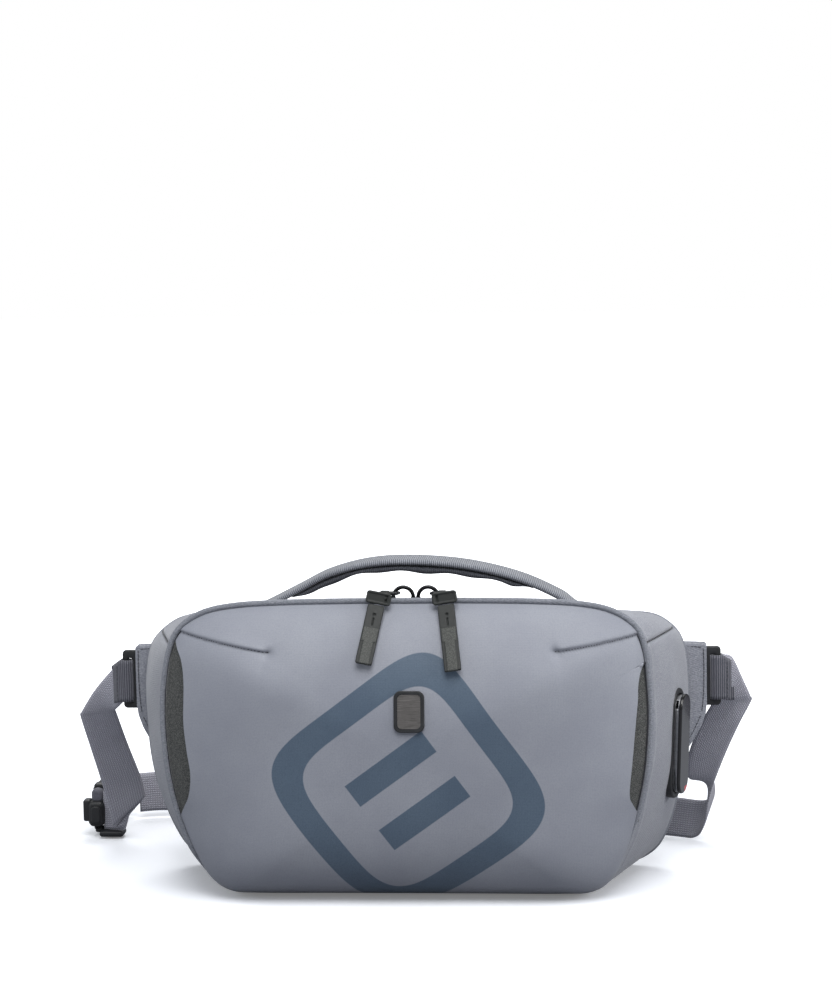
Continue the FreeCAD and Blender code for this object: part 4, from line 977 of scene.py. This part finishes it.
def build_pad():
    """The padded mesh panel that rests on the wearer, swollen by simulation and then quilted."""
    outline = catmull(PAD_OUTLINE, np.linspace(0, len(PAD_OUTLINE), 160, endpoint=False), closed=True)
    count = len(outline)
    low, high = BACK_Y + 0.6, BACK_Y + 4.6
    points = [(x, y, z) for y in (low, high) for x, z in outline]
    faces = [(i, (i + 1) % count, count + (i + 1) % count, count + i) for i in range(count)]
    faces += [tuple(range(count))[::-1], tuple(range(count, 2 * count))]
    pad = new_object("back_pad_mesh", points, faces)
    remesh = pad.modifiers.new("remesh", "REMESH")
    remesh.mode = "VOXEL"
    remesh.voxel_size = 0.0042
    bake(pad)
    swollen = simulate_pad(pad, 4.0, 5.0)
    pad.data.vertices.foreach_set("co", swollen.ravel())
    soften(pad)
    at = np.array([v.co for v in pad.data.vertices], float) / MM
    front = smooth((at[:, 1] - BACK_Y - 1.5) / 2)
    for (x0, z0), (x1, z1) in PAD_SEAMS:
        along = np.array([x1 - x0, z1 - z0], float)
        length = np.linalg.norm(along)
        along /= length
        t = np.clip((at[:, 0] - x0) * along[0] + (at[:, 2] - z0) * along[1], 0, length)
        gap = np.hypot(at[:, 0] - x0 - t * along[0], at[:, 2] - z0 - t * along[1])
        at[:, 1] -= front * 3.0 * np.exp(-(gap / 3.0) ** 2)
    at[:, 1] = np.maximum(at[:, 1], BACK_Y + 0.25)
    pad.data.vertices.foreach_set("co", (at * MM).ravel())
    pad.data.shade_smooth()
    finish_piece(pad, "spacer_mesh", "spacer_mesh", "root", "back_pad")


# ---------------------------------------------------------------- inside

def build_inside():
    """The lining, the pocket sewn to its back wall, and the back foam."""
    stations = np.linspace(0, 2 * HALF, 160, endpoint=False)
    shares = np.linspace(0.06, 0.84, 24)
    grid = gusset_grid(np.append(stations, 0), shares)
    middle = np.array([0, 10.0, 80.0])
    outward = grid - middle
    outward[..., 1] = 0
    grid = grid - unit(outward) * 6.0
    slot = (np.abs(grid[:-1, :-1, 0]) < SLOT_HALF) & (grid[:-1, :-1, 2] > 120) & (grid[:-1, :-1, 1] < -5)
    lining = thicken(sheet("lining_cloth", grid, keep=~slot), 0.8)
    finish_piece(lining, "lining_fabric", "lining_fabric", "root", "lining")

    x, z = np.meshgrid(np.linspace(-100, 100, 60), np.linspace(20, 96, 40))
    y = 36.8 - 0.5 * np.cos(x / 100 * math.pi / 2) * np.sin((z - 20) / 76 * math.pi)
    pocket = thicken(sheet("pocket_cloth", np.stack([x, y, z], axis=-1)), 0.9)
    finish_piece(pocket, "lining_fabric", "lining_fabric", "root", "inner_pocket")
    foam = thicken(face_away(fan("foam_sheet", loop_fill(9, 44.6, 44.8, 8, 30)), BAG_MIDDLE), 4.6)
    finish_piece(foam, "foam", "foam", "root", "back_foam")


# ---------------------------------------------------------------- webbing

def strap(name, stations, thickness=1.5, columns=11, spacing=1.6):
    """A woven tape through pairs of edge points. Its UV map holds millimetres."""
    pairs = np.array([np.concatenate([a, b]) for a, b in stations], float)
    dense = catmull(pairs, np.linspace(0, len(pairs) - 1, len(pairs) * 30))
    middle = (dense[:, :3] + dense[:, 3:]) / 2
    run = run_length(middle)
    steps = np.linspace(0, run[-1], int(run[-1] / spacing) + 1)
    rows = np.stack([np.interp(steps, run, column) for column in dense.T], axis=1)
    a, b = rows[:, :3], rows[:, 3:]
    along = np.gradient((a + b) / 2, axis=0)
    normal = unit(np.cross(b - a, along))
    across = np.concatenate([np.linspace(0, 1, columns), np.linspace(1, 0, columns)])
    lift = np.concatenate([np.full(columns, 0.5), np.full(columns, -0.5)]) * thickness
    rim = (np.abs(across - 0.5) > 0.49)
    lift[rim] *= 0.55
    width = np.linalg.norm(b - a, axis=1).mean()
    points = a[:, None] + (b - a)[:, None] * across[None, :, None] + normal[:, None] * lift[None, :, None]
    uvs = tape_uvs(across * width, steps).reshape(-1, 2)
    return new_object(name, points.reshape(-1, 3), capped_faces(len(rows), len(across)), uvs)


# The top of the handle's arch, in x and z.
HANDLE_TOP = [(-104, 157.4), (-98, 158.2), (-91, 160.2), (-83, 163.6), (-65, 172.6), (-47, 181.4),
              (-24, 187.2), (2, 188.4), (33, 185.6), (62, 178.4), (84.5, 168.4), (93, 162.2),
              (99, 158.6), (104, 157.4)]


def handle_strip(name, low_x, high_x, drop, thickness, waves, half):
    """One layer of the carry handle, following its arch at a drop below it."""
    path = even_path([(x, 15, z) for x, z in HANDLE_TOP], 1.2)
    down = np.cross(unit(np.gradient(path, axis=0)), -Y_AXIS)
    chosen = (path[:, 0] > low_x) & (path[:, 0] < high_x)
    path, down = path[chosen], down[chosen]
    end = smooth((half - np.abs(path[:, 0])) / 14) if half else np.ones(len(path))
    swell = 1 + waves * np.sin(path[:, 0] / 6.5) * np.sin(path[:, 0] / 13.0 + 1)
    thick = thickness * end * swell
    sides = 24
    angles = np.linspace(0, 2 * math.pi, sides, endpoint=False)
    across = np.sign(np.cos(angles)) * np.abs(np.cos(angles)) ** 0.35
    lift = np.sign(np.sin(angles)) * np.abs(np.sin(angles)) ** 0.8
    width = 12.5 if not half else 11.6
    points = (path[:, None] + down[:, None] * (drop + thick[:, None, None] * (1 - lift[None, :, None]) / 2)
              + np.array([0, width, 0]) * across[None, :, None])
    uvs = tape_uvs(across * width, run_length(path)).reshape(-1, 2)
    return new_object(name, points.reshape(-1, 3), capped_faces(len(path), sides), uvs)


def build_handle():
    tape = handle_strip("handle_tape", -200, 200, 0, 3.8, 0.0, 0)
    # The padding layer under the tape takes the darker underlay material: painted shade of the handle's
    # underside.
    pad = handle_strip("handle_underlay", -70, 72, 3.7, 3.9, 0.3, 72)
    finish_piece(tape, "handle_webbing", "webbing", None, "handle_webbing", "handle_patch_left",
                 "handle_patch_right")
    finish_piece(pad, "underlay_painted_shade", "webbing_dark", None, "handle_padding")
    for piece in (tape, pad):
        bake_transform(piece)
    row = ((91, 160.2), (95, 159.1), (98, 158.4), (103, 157.6))
    rows = [[(sign * x, y, z + 0.15) for x, z in row] for sign in (-1, 1) for y in (6, 24)]
    finish_piece(stitches("handle_stitches", rows), "thread", "webbing", "root")


# ---------------------------------------------------------------- wings

WING_END = 168.4
# The wing's lower and upper edge, in x and z.
WING_LOW = np.array([(118, 76), (136, 71.5), (150, 67.0), (157, 68.8), (161.2, 75.0), (165, 82.0),
                     (167.6, 89.4), (WING_END, 95.5)])
WING_HIGH = np.array([(118, 131), (150, 131.8), (167.4, 131.0), (WING_END, 129.8)])


def share_swing(piece):
    """Bakes a wing part's placement into its points."""
    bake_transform(piece)
    return piece


def wing_layer(name, sign, plan):
    """One layer of a wing, along a plan path of x and y."""
    path = catmull(np.array(plan, float), np.linspace(0, len(plan) - 1, 120))
    low = np.interp(path[:, 0], *WING_LOW.T)
    high = np.interp(path[:, 0], *WING_HIGH.T)
    share = np.linspace(0, 1, 34)[None]
    z = low[:, None] + (high - low)[:, None] * share
    x, y = (np.repeat(column[:, None], share.size, axis=1) for column in path.T)
    return share_swing(thicken(sheet(name, np.stack([sign * x, y, z], axis=-1)), 1.2, 0))


def build_wing(name, sign):
    """The stiff wing behind the bag's side: a front layer and a patch, with the ring sewn in between."""
    front_plan = [(118, 49.8), (136, 50.1), (150, 50.4), (160, 51.0), (WING_END, 51.4)]
    patch_plan = [(146, 52.6), (152, 55.0), (160, 56.6), (WING_END, 56.6)]
    front = wing_layer(f"wing_cloth_{name}", sign, front_plan)
    patch = wing_layer(f"wing_patch_{name}", sign, patch_plan)
    finish_piece(front, "knit_fabric", "knit_fabric", None, f"wing_{name}", f"ring_tab_{name}")
    finish_piece(patch, "knit_fabric", "knit_fabric", None)
    y = 50.55
    lines = [[(sign * x, y - (160 - x) * 0.02, z) for x, z in ((150, 129.6), (158, 129.4), (166.2, 128.9))],
             [(sign * x, y, z) for x, z in ((166.6, 128.4), (166.8, 112), (166.2, 98), (165.2, 89.5))],
             [(sign * x, y - (160 - x) * 0.02, z) for x, z in ((164.8, 88.6), (159.6, 77.6), (156, 72.6))]]
    rows = stitches(f"wing_stitches_{name}", [even_path(line, 1.0) for line in lines], 2.2, 1.5, 0.3)
    finish_piece(share_swing(rows), "thread", "piping_fabric", None)


def build_ring(name, sign):
    """A moulded strap ring with a wide inner bar, which is sewn into the wing."""
    bars = (7.2, 3.4, 5.0) if sign > 0 else (3.4, 7.2, 5.0)
    middle = (sign * 170.2, 54, 111.1 + sign * 0.5)
    ring = joined(f"ring_moulding_{name}", [placed(bar_frame(13.0, 35.0, bars, 3.0), middle, *np.eye(3))])
    finish_piece(ring, "moulded_black", "black_metal", "strap", f"ring_{name}")


SLEEVE_COLUMNS = 12


def sleeve(name, sign, low, high):
    """The strap's sewn end, wrapped round the ring's outer bar."""
    bar = np.array([174.2, 54.0])
    turn = [bar + 3.5 * np.array([math.cos(a), math.sin(a)]) for a in np.radians(np.linspace(60, 290, 16))]
    plan = [(184.5, 59.8), (180, 58.0)] + turn + [(179, 52.0), (182.4, 54.6)]
    dense = catmull(np.array([(sign * x, y) for x, y in plan]), np.linspace(0, len(plan) - 1, 90))
    out = np.abs(dense[:, 0])
    z_low = low - np.clip(out - 178, 0, None) * 0.35
    z_high = high - np.clip(out - 178, 0, None) * 0.75
    share = np.linspace(0, 1, SLEEVE_COLUMNS)
    z = z_low[:, None] + (z_high - z_low)[:, None] * share[None]
    x, y = (np.repeat(column[:, None], SLEEVE_COLUMNS, axis=1) for column in dense.T)
    grid = np.stack([x, y, z], axis=-1)
    uvs = tape_uvs(share * 25, run_length(dense))
    if sign < 0:
        grid, uvs = grid[::-1], uvs[::-1]
    finish_piece(thicken(sheet(name, grid, uvs), 1.3, 0), "webbing_dark", "webbing", "strap")


# Each strap runs through pairs of points, one on each of its edges.
LEFT_DROP = [
    ((-177.4, 54, 121.5), (-177.4, 54, 96.5)), ((-185.4, 57, 114), (-181, 57, 93)),
    ((-196.6, 62, 101.3), (-183.5, 62, 90.5)), ((-205.4, 67, 88), (-184.7, 66.4, 89)),
    ((-206.5, 69, 85), (-184.4, 68.4, 87)), ((-203.6, 82, 62.4), (-181.6, 84, 66)),
    ((-200, 95, 37.4), (-176.5, 97, 42)), ((-196.6, 103.6, 13), (-174.8, 100.4, 31)),
    ((-196, 105, 9), (-174.6, 101.4, 28.6)),
]
LEFT_TURN = [
    ((-194.5, 105.6, 7.6), (-176, 102.4, 27.5)), ((-189.5, 107.6, 6), (-183, 106.4, 28.4)),
    ((-191.5, 109.4, 5), (-188, 109, 29)), ((-198.3, 111.3, 5), (-198.3, 111.3, 29)),
    ((-203, 113, 5), (-203, 113, 29)),
]
RIGHT_RUN = [
    ((177.4, 54, 124), (177.4, 54, 98)), ((183, 56, 122.5), (179.5, 57, 97)),
    ((188.5, 59, 111), (178, 60, 96.5)), ((194.0, 63, 98), (172.3, 63, 94)),
    ((194.6, 65, 94.5), (171.2, 65, 92)), ((187.8, 68, 80.5), (163.5, 70, 77)),
    ((180.6, 76, 62.9), (157.2, 78, 57)), ((174.5, 86, 45), (158.5, 90, 42)),
    ((169.5, 92, 28), (171, 108, 40)), ((167, 100, 12), (173.5, 108, 29)),
    ((162, 109, 1.5), (167.5, 111, 24)), ((150, 113, 1), (152, 113, 25)),
    ((118, 128, 1), (118, 128, 26)), ((60, 150, 1), (60, 150, 26)), ((0, 162, 1), (0, 162, 26)),
    ((-70, 168, 1), (-70, 168, 26)), ((-130, 169, 2), (-130, 169, 27)), ((-172, 167.5, 4), (-172, 167.5, 29)),
    ((-190, 163, 4), (-190, 163, 29)),
]
BIGHT = [
    ((-205, 163, 4.5), (-205, 163, 29.5)), ((-204.2, 168, 4.5), (-204.2, 168, 29.5)),
    ((-200.5, 170.5, 4.5), (-200.5, 170.5, 29.5)), ((-194.8, 167.5, 4.3), (-194.8, 167.5, 29.3)),
]


def build_straps():
    finish_piece(strap("strap_left_drop", LEFT_DROP), "webbing", "webbing", "strap", "strap_left")
    finish_piece(strap("strap_left_turn", LEFT_TURN), "webbing", "webbing", "strap")
    run = finish_piece(strap("strap_right_run", RIGHT_RUN), "webbing", "webbing", None, "strap_right")
    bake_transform(run)
    finish_piece(strap("strap_loop_end", BIGHT), "webbing", "webbing", "buckle_insert", "strap_bight")
    sleeve("strap_sleeve_left", -1, 97.2, 122.2)
    sleeve("strap_sleeve_right", 1, 98, 124)
    rows = [[(-180.0, 51.9, 97.5), (-180.0, 51.9, 120.0)], [(180.4, 52.0, 98.5), (180.4, 52.0, 121.6)]]
    thread = stitches("sleeve_stitches", [even_path(row, 1.0) for row in rows], 2.4, 1.6)
    finish_piece(thread, "thread", "webbing", "strap")


# ---------------------------------------------------------------- zip pullers

# For each puller: the x of its clip's middle and of its knuckle, its tab's lean and length, and the side its
# clip's slot is on.
PULLERS = {"left": (-14.4, -11.2, 11.5, 36.0, 1), "right": (22.4, 20.8, -8.5, 40.0, -1)}
PULL_BAR_Y, PULL_BAR_Z = -26.9, 173.5      # the front bar of each wire link
CLIP_SLOPE, TAB_SLOPE = 14, 32.2
CLIP_WIDE, CLIP_TALL = 14.0, 7.0
TAB_WIDE = 9.4


def leaning_axes(lean, slope):
    """Right, out and up directions of a plate that leans sideways and slopes down to the front."""
    lean, slope = math.radians(lean), math.radians(slope)
    right = np.array([math.cos(lean), 0, -math.sin(lean)])
    up = np.array([math.cos(slope) * math.sin(lean), math.sin(slope), math.cos(slope) * math.cos(lean)])
    return right, np.cross(right, up), up


def clip_relief(slot_side):
    """A raised rim round the clip's face, and the slot through one side of it."""
    def relief(across, up):
        gap = np.minimum(CLIP_WIDE / 2 - np.abs(across), CLIP_TALL / 2 - np.abs(up))
        rim = smooth((1.5 - gap) / 0.4) * 0.45
        slot = smooth((0.8 - np.abs(across - slot_side * 4.2)) / 0.35) * smooth((1.9 - np.abs(up)) / 0.4)
        return rim - 1.2 * slot
    return relief


def tab_relief(across, down):
    """The eyelet and slit near the tab's top, and the pad moulded on below them."""
    off = np.abs(across)
    eyelet = smooth((0.95 - np.hypot(across, down - 6.0)) / 0.4)
    slit = smooth((0.5 - off) / 0.3) * smooth((down - 8.0) / 0.4) * smooth((12.8 - down) / 0.4)
    head = smooth((4.2 - off) / 0.3) * smooth((22.6 - down) / 0.4)
    stem = smooth((2.9 - off) / 0.3)
    pad = np.maximum(head, stem) * smooth((down - 13.9) / 0.4)
    return 0.4 * pad - 0.9 * np.maximum(eyelet, slit)


def build_puller(side):
    """A clip that hangs from the link's front bar, and the rubber tab below it."""
    middle, knuckle_x, lean, long, slot_side = PULLERS[side]
    bar = np.array([knuckle_x, PULL_BAR_Y, PULL_BAR_Z])
    knuckle = tube_parts([bar - (1.8, 0, 0), bar, bar + (1.8, 0, 0)], 1.9, 16)
    neck = tube_parts([bar, bar + (0, -2, -0.6), bar + (0, -4.2, -1.6)], 2.3, 14, 0.55)
    face = relief_slab(CLIP_WIDE, CLIP_TALL, 1.6, 1.9, clip_relief(slot_side), 0.5, 0.3)
    origin = (middle, PULL_BAR_Y - 4, PULL_BAR_Z - CLIP_TALL / 2 + 1.6)
    face = placed(face, origin, *leaning_axes(lean, CLIP_SLOPE))
    clip = joined(f"pull_clip_moulding_{side}", [knuckle, neck, face])
    finish_piece(clip, "puller_rubber", "puller_rubber", f"puller_{side}", f"pull_clip_{side}")

    points, faces = relief_slab(TAB_WIDE, long, 1.0, 1.8, lambda x, z: tab_relief(x, long / 2 - z), 0.5, 0.3)
    right, out, up = leaning_axes(lean, TAB_SLOPE)
    top = np.array([middle - lean * 0.1, PULL_BAR_Y - 6.2, PULL_BAR_Z - CLIP_TALL + 1.2])
    turned, faces = placed((points, faces), top - up * long / 2, right, out, up)
    uvs = np.stack([points[:, 0], long / 2 - points[:, 2]], axis=1)
    tab = new_object(f"pull_tab_moulding_{side}", turned, faces, uvs)
    finish_piece(tab, "puller_rubber", "puller_rubber", f"puller_{side}", f"pull_tab_{side}")


# ---------------------------------------------------------------- buckle

BUCKLE_AT = np.array([-205.0, 113.0, 17.0])


def rounded_block(low, high, corner):
    """A block between two corners, rounded where it is seen from the front."""
    low, high = np.array(low, float), np.array(high, float)
    size, middle = high - low, (high + low) / 2
    edge = min(corner, size[1] / 2 - 0.1) * 0.8
    slab = relief_slab(size[0], size[2], corner, size[1], None, edge, 0.5)
    return placed(slab, (middle[0], high[1], middle[2]), X_AXIS, -Y_AXIS, Z_AXIS)


def blocks_at_buckle(name, corners):
    """One object from rounded blocks: low corner and high corner from the buckle's middle, and rounding."""
    parts = [rounded_block(BUCKLE_AT + low, BUCKLE_AT + high, corner) for low, high, corner in corners]
    return joined(name, parts)


def build_buckle():
    """The side-release buckle, seen from its webbing end, and its other half with two sprung arms."""
    body = blocks_at_buckle("buckle_body", [
        ((-5.5, 4, -13.5), (-3.6, 31, 13.5), 0.9), ((3.6, 4, -13.5), (5.5, 31, 13.5), 0.9),
        ((-5.0, 4, -15.4), (5.0, 12, -12.4), 1.4), ((-5.0, 4, 12.4), (5.0, 12, 15.4), 1.4),
        ((-8.2, -3.5, -10.4), (2.8, 6, 6.2), 4.2), ((-5.6, -5.0, -7.6), (0.4, -3.2, 3.2), 2.6),
        ((-11.2, -1, -7.2), (-6.4, 7, 6.2), 1.2), ((-0.6, -6, -16.0), (14.6, 6, -12.3), 1.8)])
    finish_piece(body, "moulded_black", "moulded_black", "strap", "buckle_female")
    wrap = blocks_at_buckle("buckle_webbing_wrap", [((-5.9, -1.5, 4.6), (1.6, 9, 13.4), 3.4)])
    finish_piece(wrap, "webbing_dark", "webbing", "strap")
    arms = blocks_at_buckle("buckle_arms", [
        ((-5.2, 31.4, -15.5), (5.2, 48.4, -12.8), 1.3), ((-5.2, 31.4, 12.8), (5.2, 48.4, 15.5), 1.3),
        ((-5.2, 31.4, -15.2), (5.2, 36, 15.2), 1.3), ((-5.2, 39.6, -15.2), (5.2, 41.8, 15.2), 1.0),
        ((-5.2, 45.2, -15.2), (5.2, 48.2, 15.2), 1.3), ((-2.6, 12.4, -12.2), (2.6, 32, -9.6), 1.0),
        ((-2.6, 12.4, 9.6), (2.6, 32, 12.2), 1.0), ((-2.4, 14, -2), (2.4, 32, 2), 1.0)])
    finish_piece(arms, "moulded_black", "moulded_black", "buckle_insert", "buckle_male")


# ---------------------------------------------------------------- CAD parts that stay shown

NODE_LOOKS = {
    "badge_bezel": "moulded_black", "badge_plate": "badge_metal", "badge_backing": "moulded_black",
    "tool_dock": "moulded_black", "dock_magnets": "magnet_steel", "dock_backing": "moulded_black",
    "tool_scale_inner": "gloss_black", "tool_scale_outer": "gloss_black", "tool_frame": "tool_steel",
    "tool_pin": "tool_steel", "tool_opener": "tool_steel", "tool_red_tip": "red_plastic",
    "zip_slider_left": "black_metal", "zip_slider_right": "black_metal",
    "pull_link_left": "black_metal", "pull_link_right": "black_metal",
    "zip_tape_front": "zip_tape", "zip_tape_rear": "zip_tape", "zip_coil": "nylon_coil",
    "zip_end_stops": "black_metal", "base_stiffener": "stiffener_board",
}


def dress_nodes():
    """Gives the CAD parts that are shown as they are their materials."""
    for name, look in NODE_LOOKS.items():
        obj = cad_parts[name]
        obj.data.materials.clear()
        obj.data.materials.append(MATERIALS[look])


# ---------------------------------------------------------------- studio

def seen_by_camera(nodes):
    """1 where a ray comes straight from the camera, and 0 where it lights the scene."""
    return nodes.new("ShaderNodeLightPath").outputs["Is Camera Ray"]


def build_stage():
    """A pale floor that fades into a white backdrop, and soft lights, mostly from above."""
    points = [(-6000, -6000, -0.2), (6000, -6000, -0.2), (6000, 6000, -0.2), (-6000, 6000, -0.2)]
    floor = new_object("studio_floor", points, [(0, 1, 2, 3)])
    s = Shader("studio_floor", roughness=1.0)
    s.surface.inputs["Specular IOR Level"].default_value = 0
    camera_ray = seen_by_camera(s.nodes)
    pale = s.mix(s.noise(s.place(), 3.0), (244, 247, 253), (248, 250, 255))
    s.colour(s.mix(camera_ray, (150, 152, 158), pale))
    x, y, _ = s.axes(s.place())
    distance = s.math("POWER", s.plus(s.times(x, x), s.times(y, y)), 0.5)
    s.feed(s.surface.inputs["Emission Color"], (255, 255, 255))
    fade = s.times(s.ramp(distance, 0.2, 0.8, 0.16, 1.0), camera_ray)
    s.feed(s.surface.inputs["Emission Strength"], fade)
    floor.data.materials.append(s.material)

    world = bpy.data.worlds.new("studio")
    world.use_nodes = True
    nodes, links = world.node_tree.nodes, world.node_tree.links
    background = nodes["Background"]
    background.inputs["Color"].default_value = (0.93, 0.965, 1.0, 1)
    backdrop = nodes.new("ShaderNodeBackground")
    backdrop.inputs["Color"].default_value = (1, 1, 1, 1)
    backdrop.inputs["Strength"].default_value = 1.0
    background.inputs["Strength"].default_value = 0.35
    choose = nodes.new("ShaderNodeMixShader")
    links.new(seen_by_camera(nodes), choose.inputs[0])
    links.new(background.outputs[0], choose.inputs[1])
    links.new(backdrop.outputs[0], choose.inputs[2])
    links.new(choose.outputs[0], nodes["World Output"].inputs["Surface"])
    bpy.context.scene.world = world
    bpy.context.scene.view_settings.view_transform = "Standard"

    def lamp(name, place, aim, size, power, colour=(1, 1, 1)):
        data = bpy.data.lights.new(name, "AREA")
        data.size = size
        data.energy = power
        data.color = colour
        obj = bpy.data.objects.new(name, data)
        obj.location = place
        obj.rotation_mode = "QUATERNION"
        obj.rotation_quaternion = (Vector(aim) - Vector(place)).to_track_quat("-Z", "Y")
        bpy.context.scene.collection.objects.link(obj)

    lamp("key", (0.15, -0.75, 1.45), (0, 0, 0.08), 1.1, 22)
    lamp("right", (1.4, -0.3, 0.6), (0.1, 0, 0.08), 0.7, 9)
    lamp("left", (-1.4, -0.4, 0.6), (-0.1, 0, 0.08), 0.7, 4, (0.92, 0.96, 1.0))
    lamp("behind", (-0.2, 1.2, 1.3), (0, 0, 0.1), 1.0, 12)


def build_camera():
    """The camera stands in front, a little to the right and above, and is rolled a touch."""
    yaw, pitch, roll = math.radians(5.024), math.radians(-6.90), math.radians(1.1)
    ahead = Vector((-math.sin(yaw) * math.cos(pitch), math.cos(yaw) * math.cos(pitch), math.sin(pitch)))
    right = ahead.cross(Vector((0, 0, 1))).normalized()
    up = right.cross(ahead)
    turned_right = right * math.cos(roll) - up * math.sin(roll)
    turned_up = up * math.cos(roll) + right * math.sin(roll)
    data = bpy.data.cameras.new("camera")
    data.lens = 100.6
    data.sensor_width = 36
    data.clip_end = 50
    camera = bpy.data.objects.new("camera", data)
    camera.matrix_world = (Matrix.Translation((0.1418, -1.5586, 0.4127))
                           @ Matrix((turned_right, turned_up, -ahead)).transposed().to_4x4())
    bpy.context.scene.collection.objects.link(camera)
    bpy.context.scene.camera = camera


build_front()
build_inserts()
build_top()
build_sides()
build_piping()
build_back()
build_pad()
build_inside()
build_handle()
for side_name, side_sign in (("left", -1), ("right", 1)):
    build_wing(side_name, side_sign)
    build_ring(side_name, side_sign)
    build_puller(side_name)
build_buckle()
build_straps()
dress_nodes()
build_stage()
build_camera()
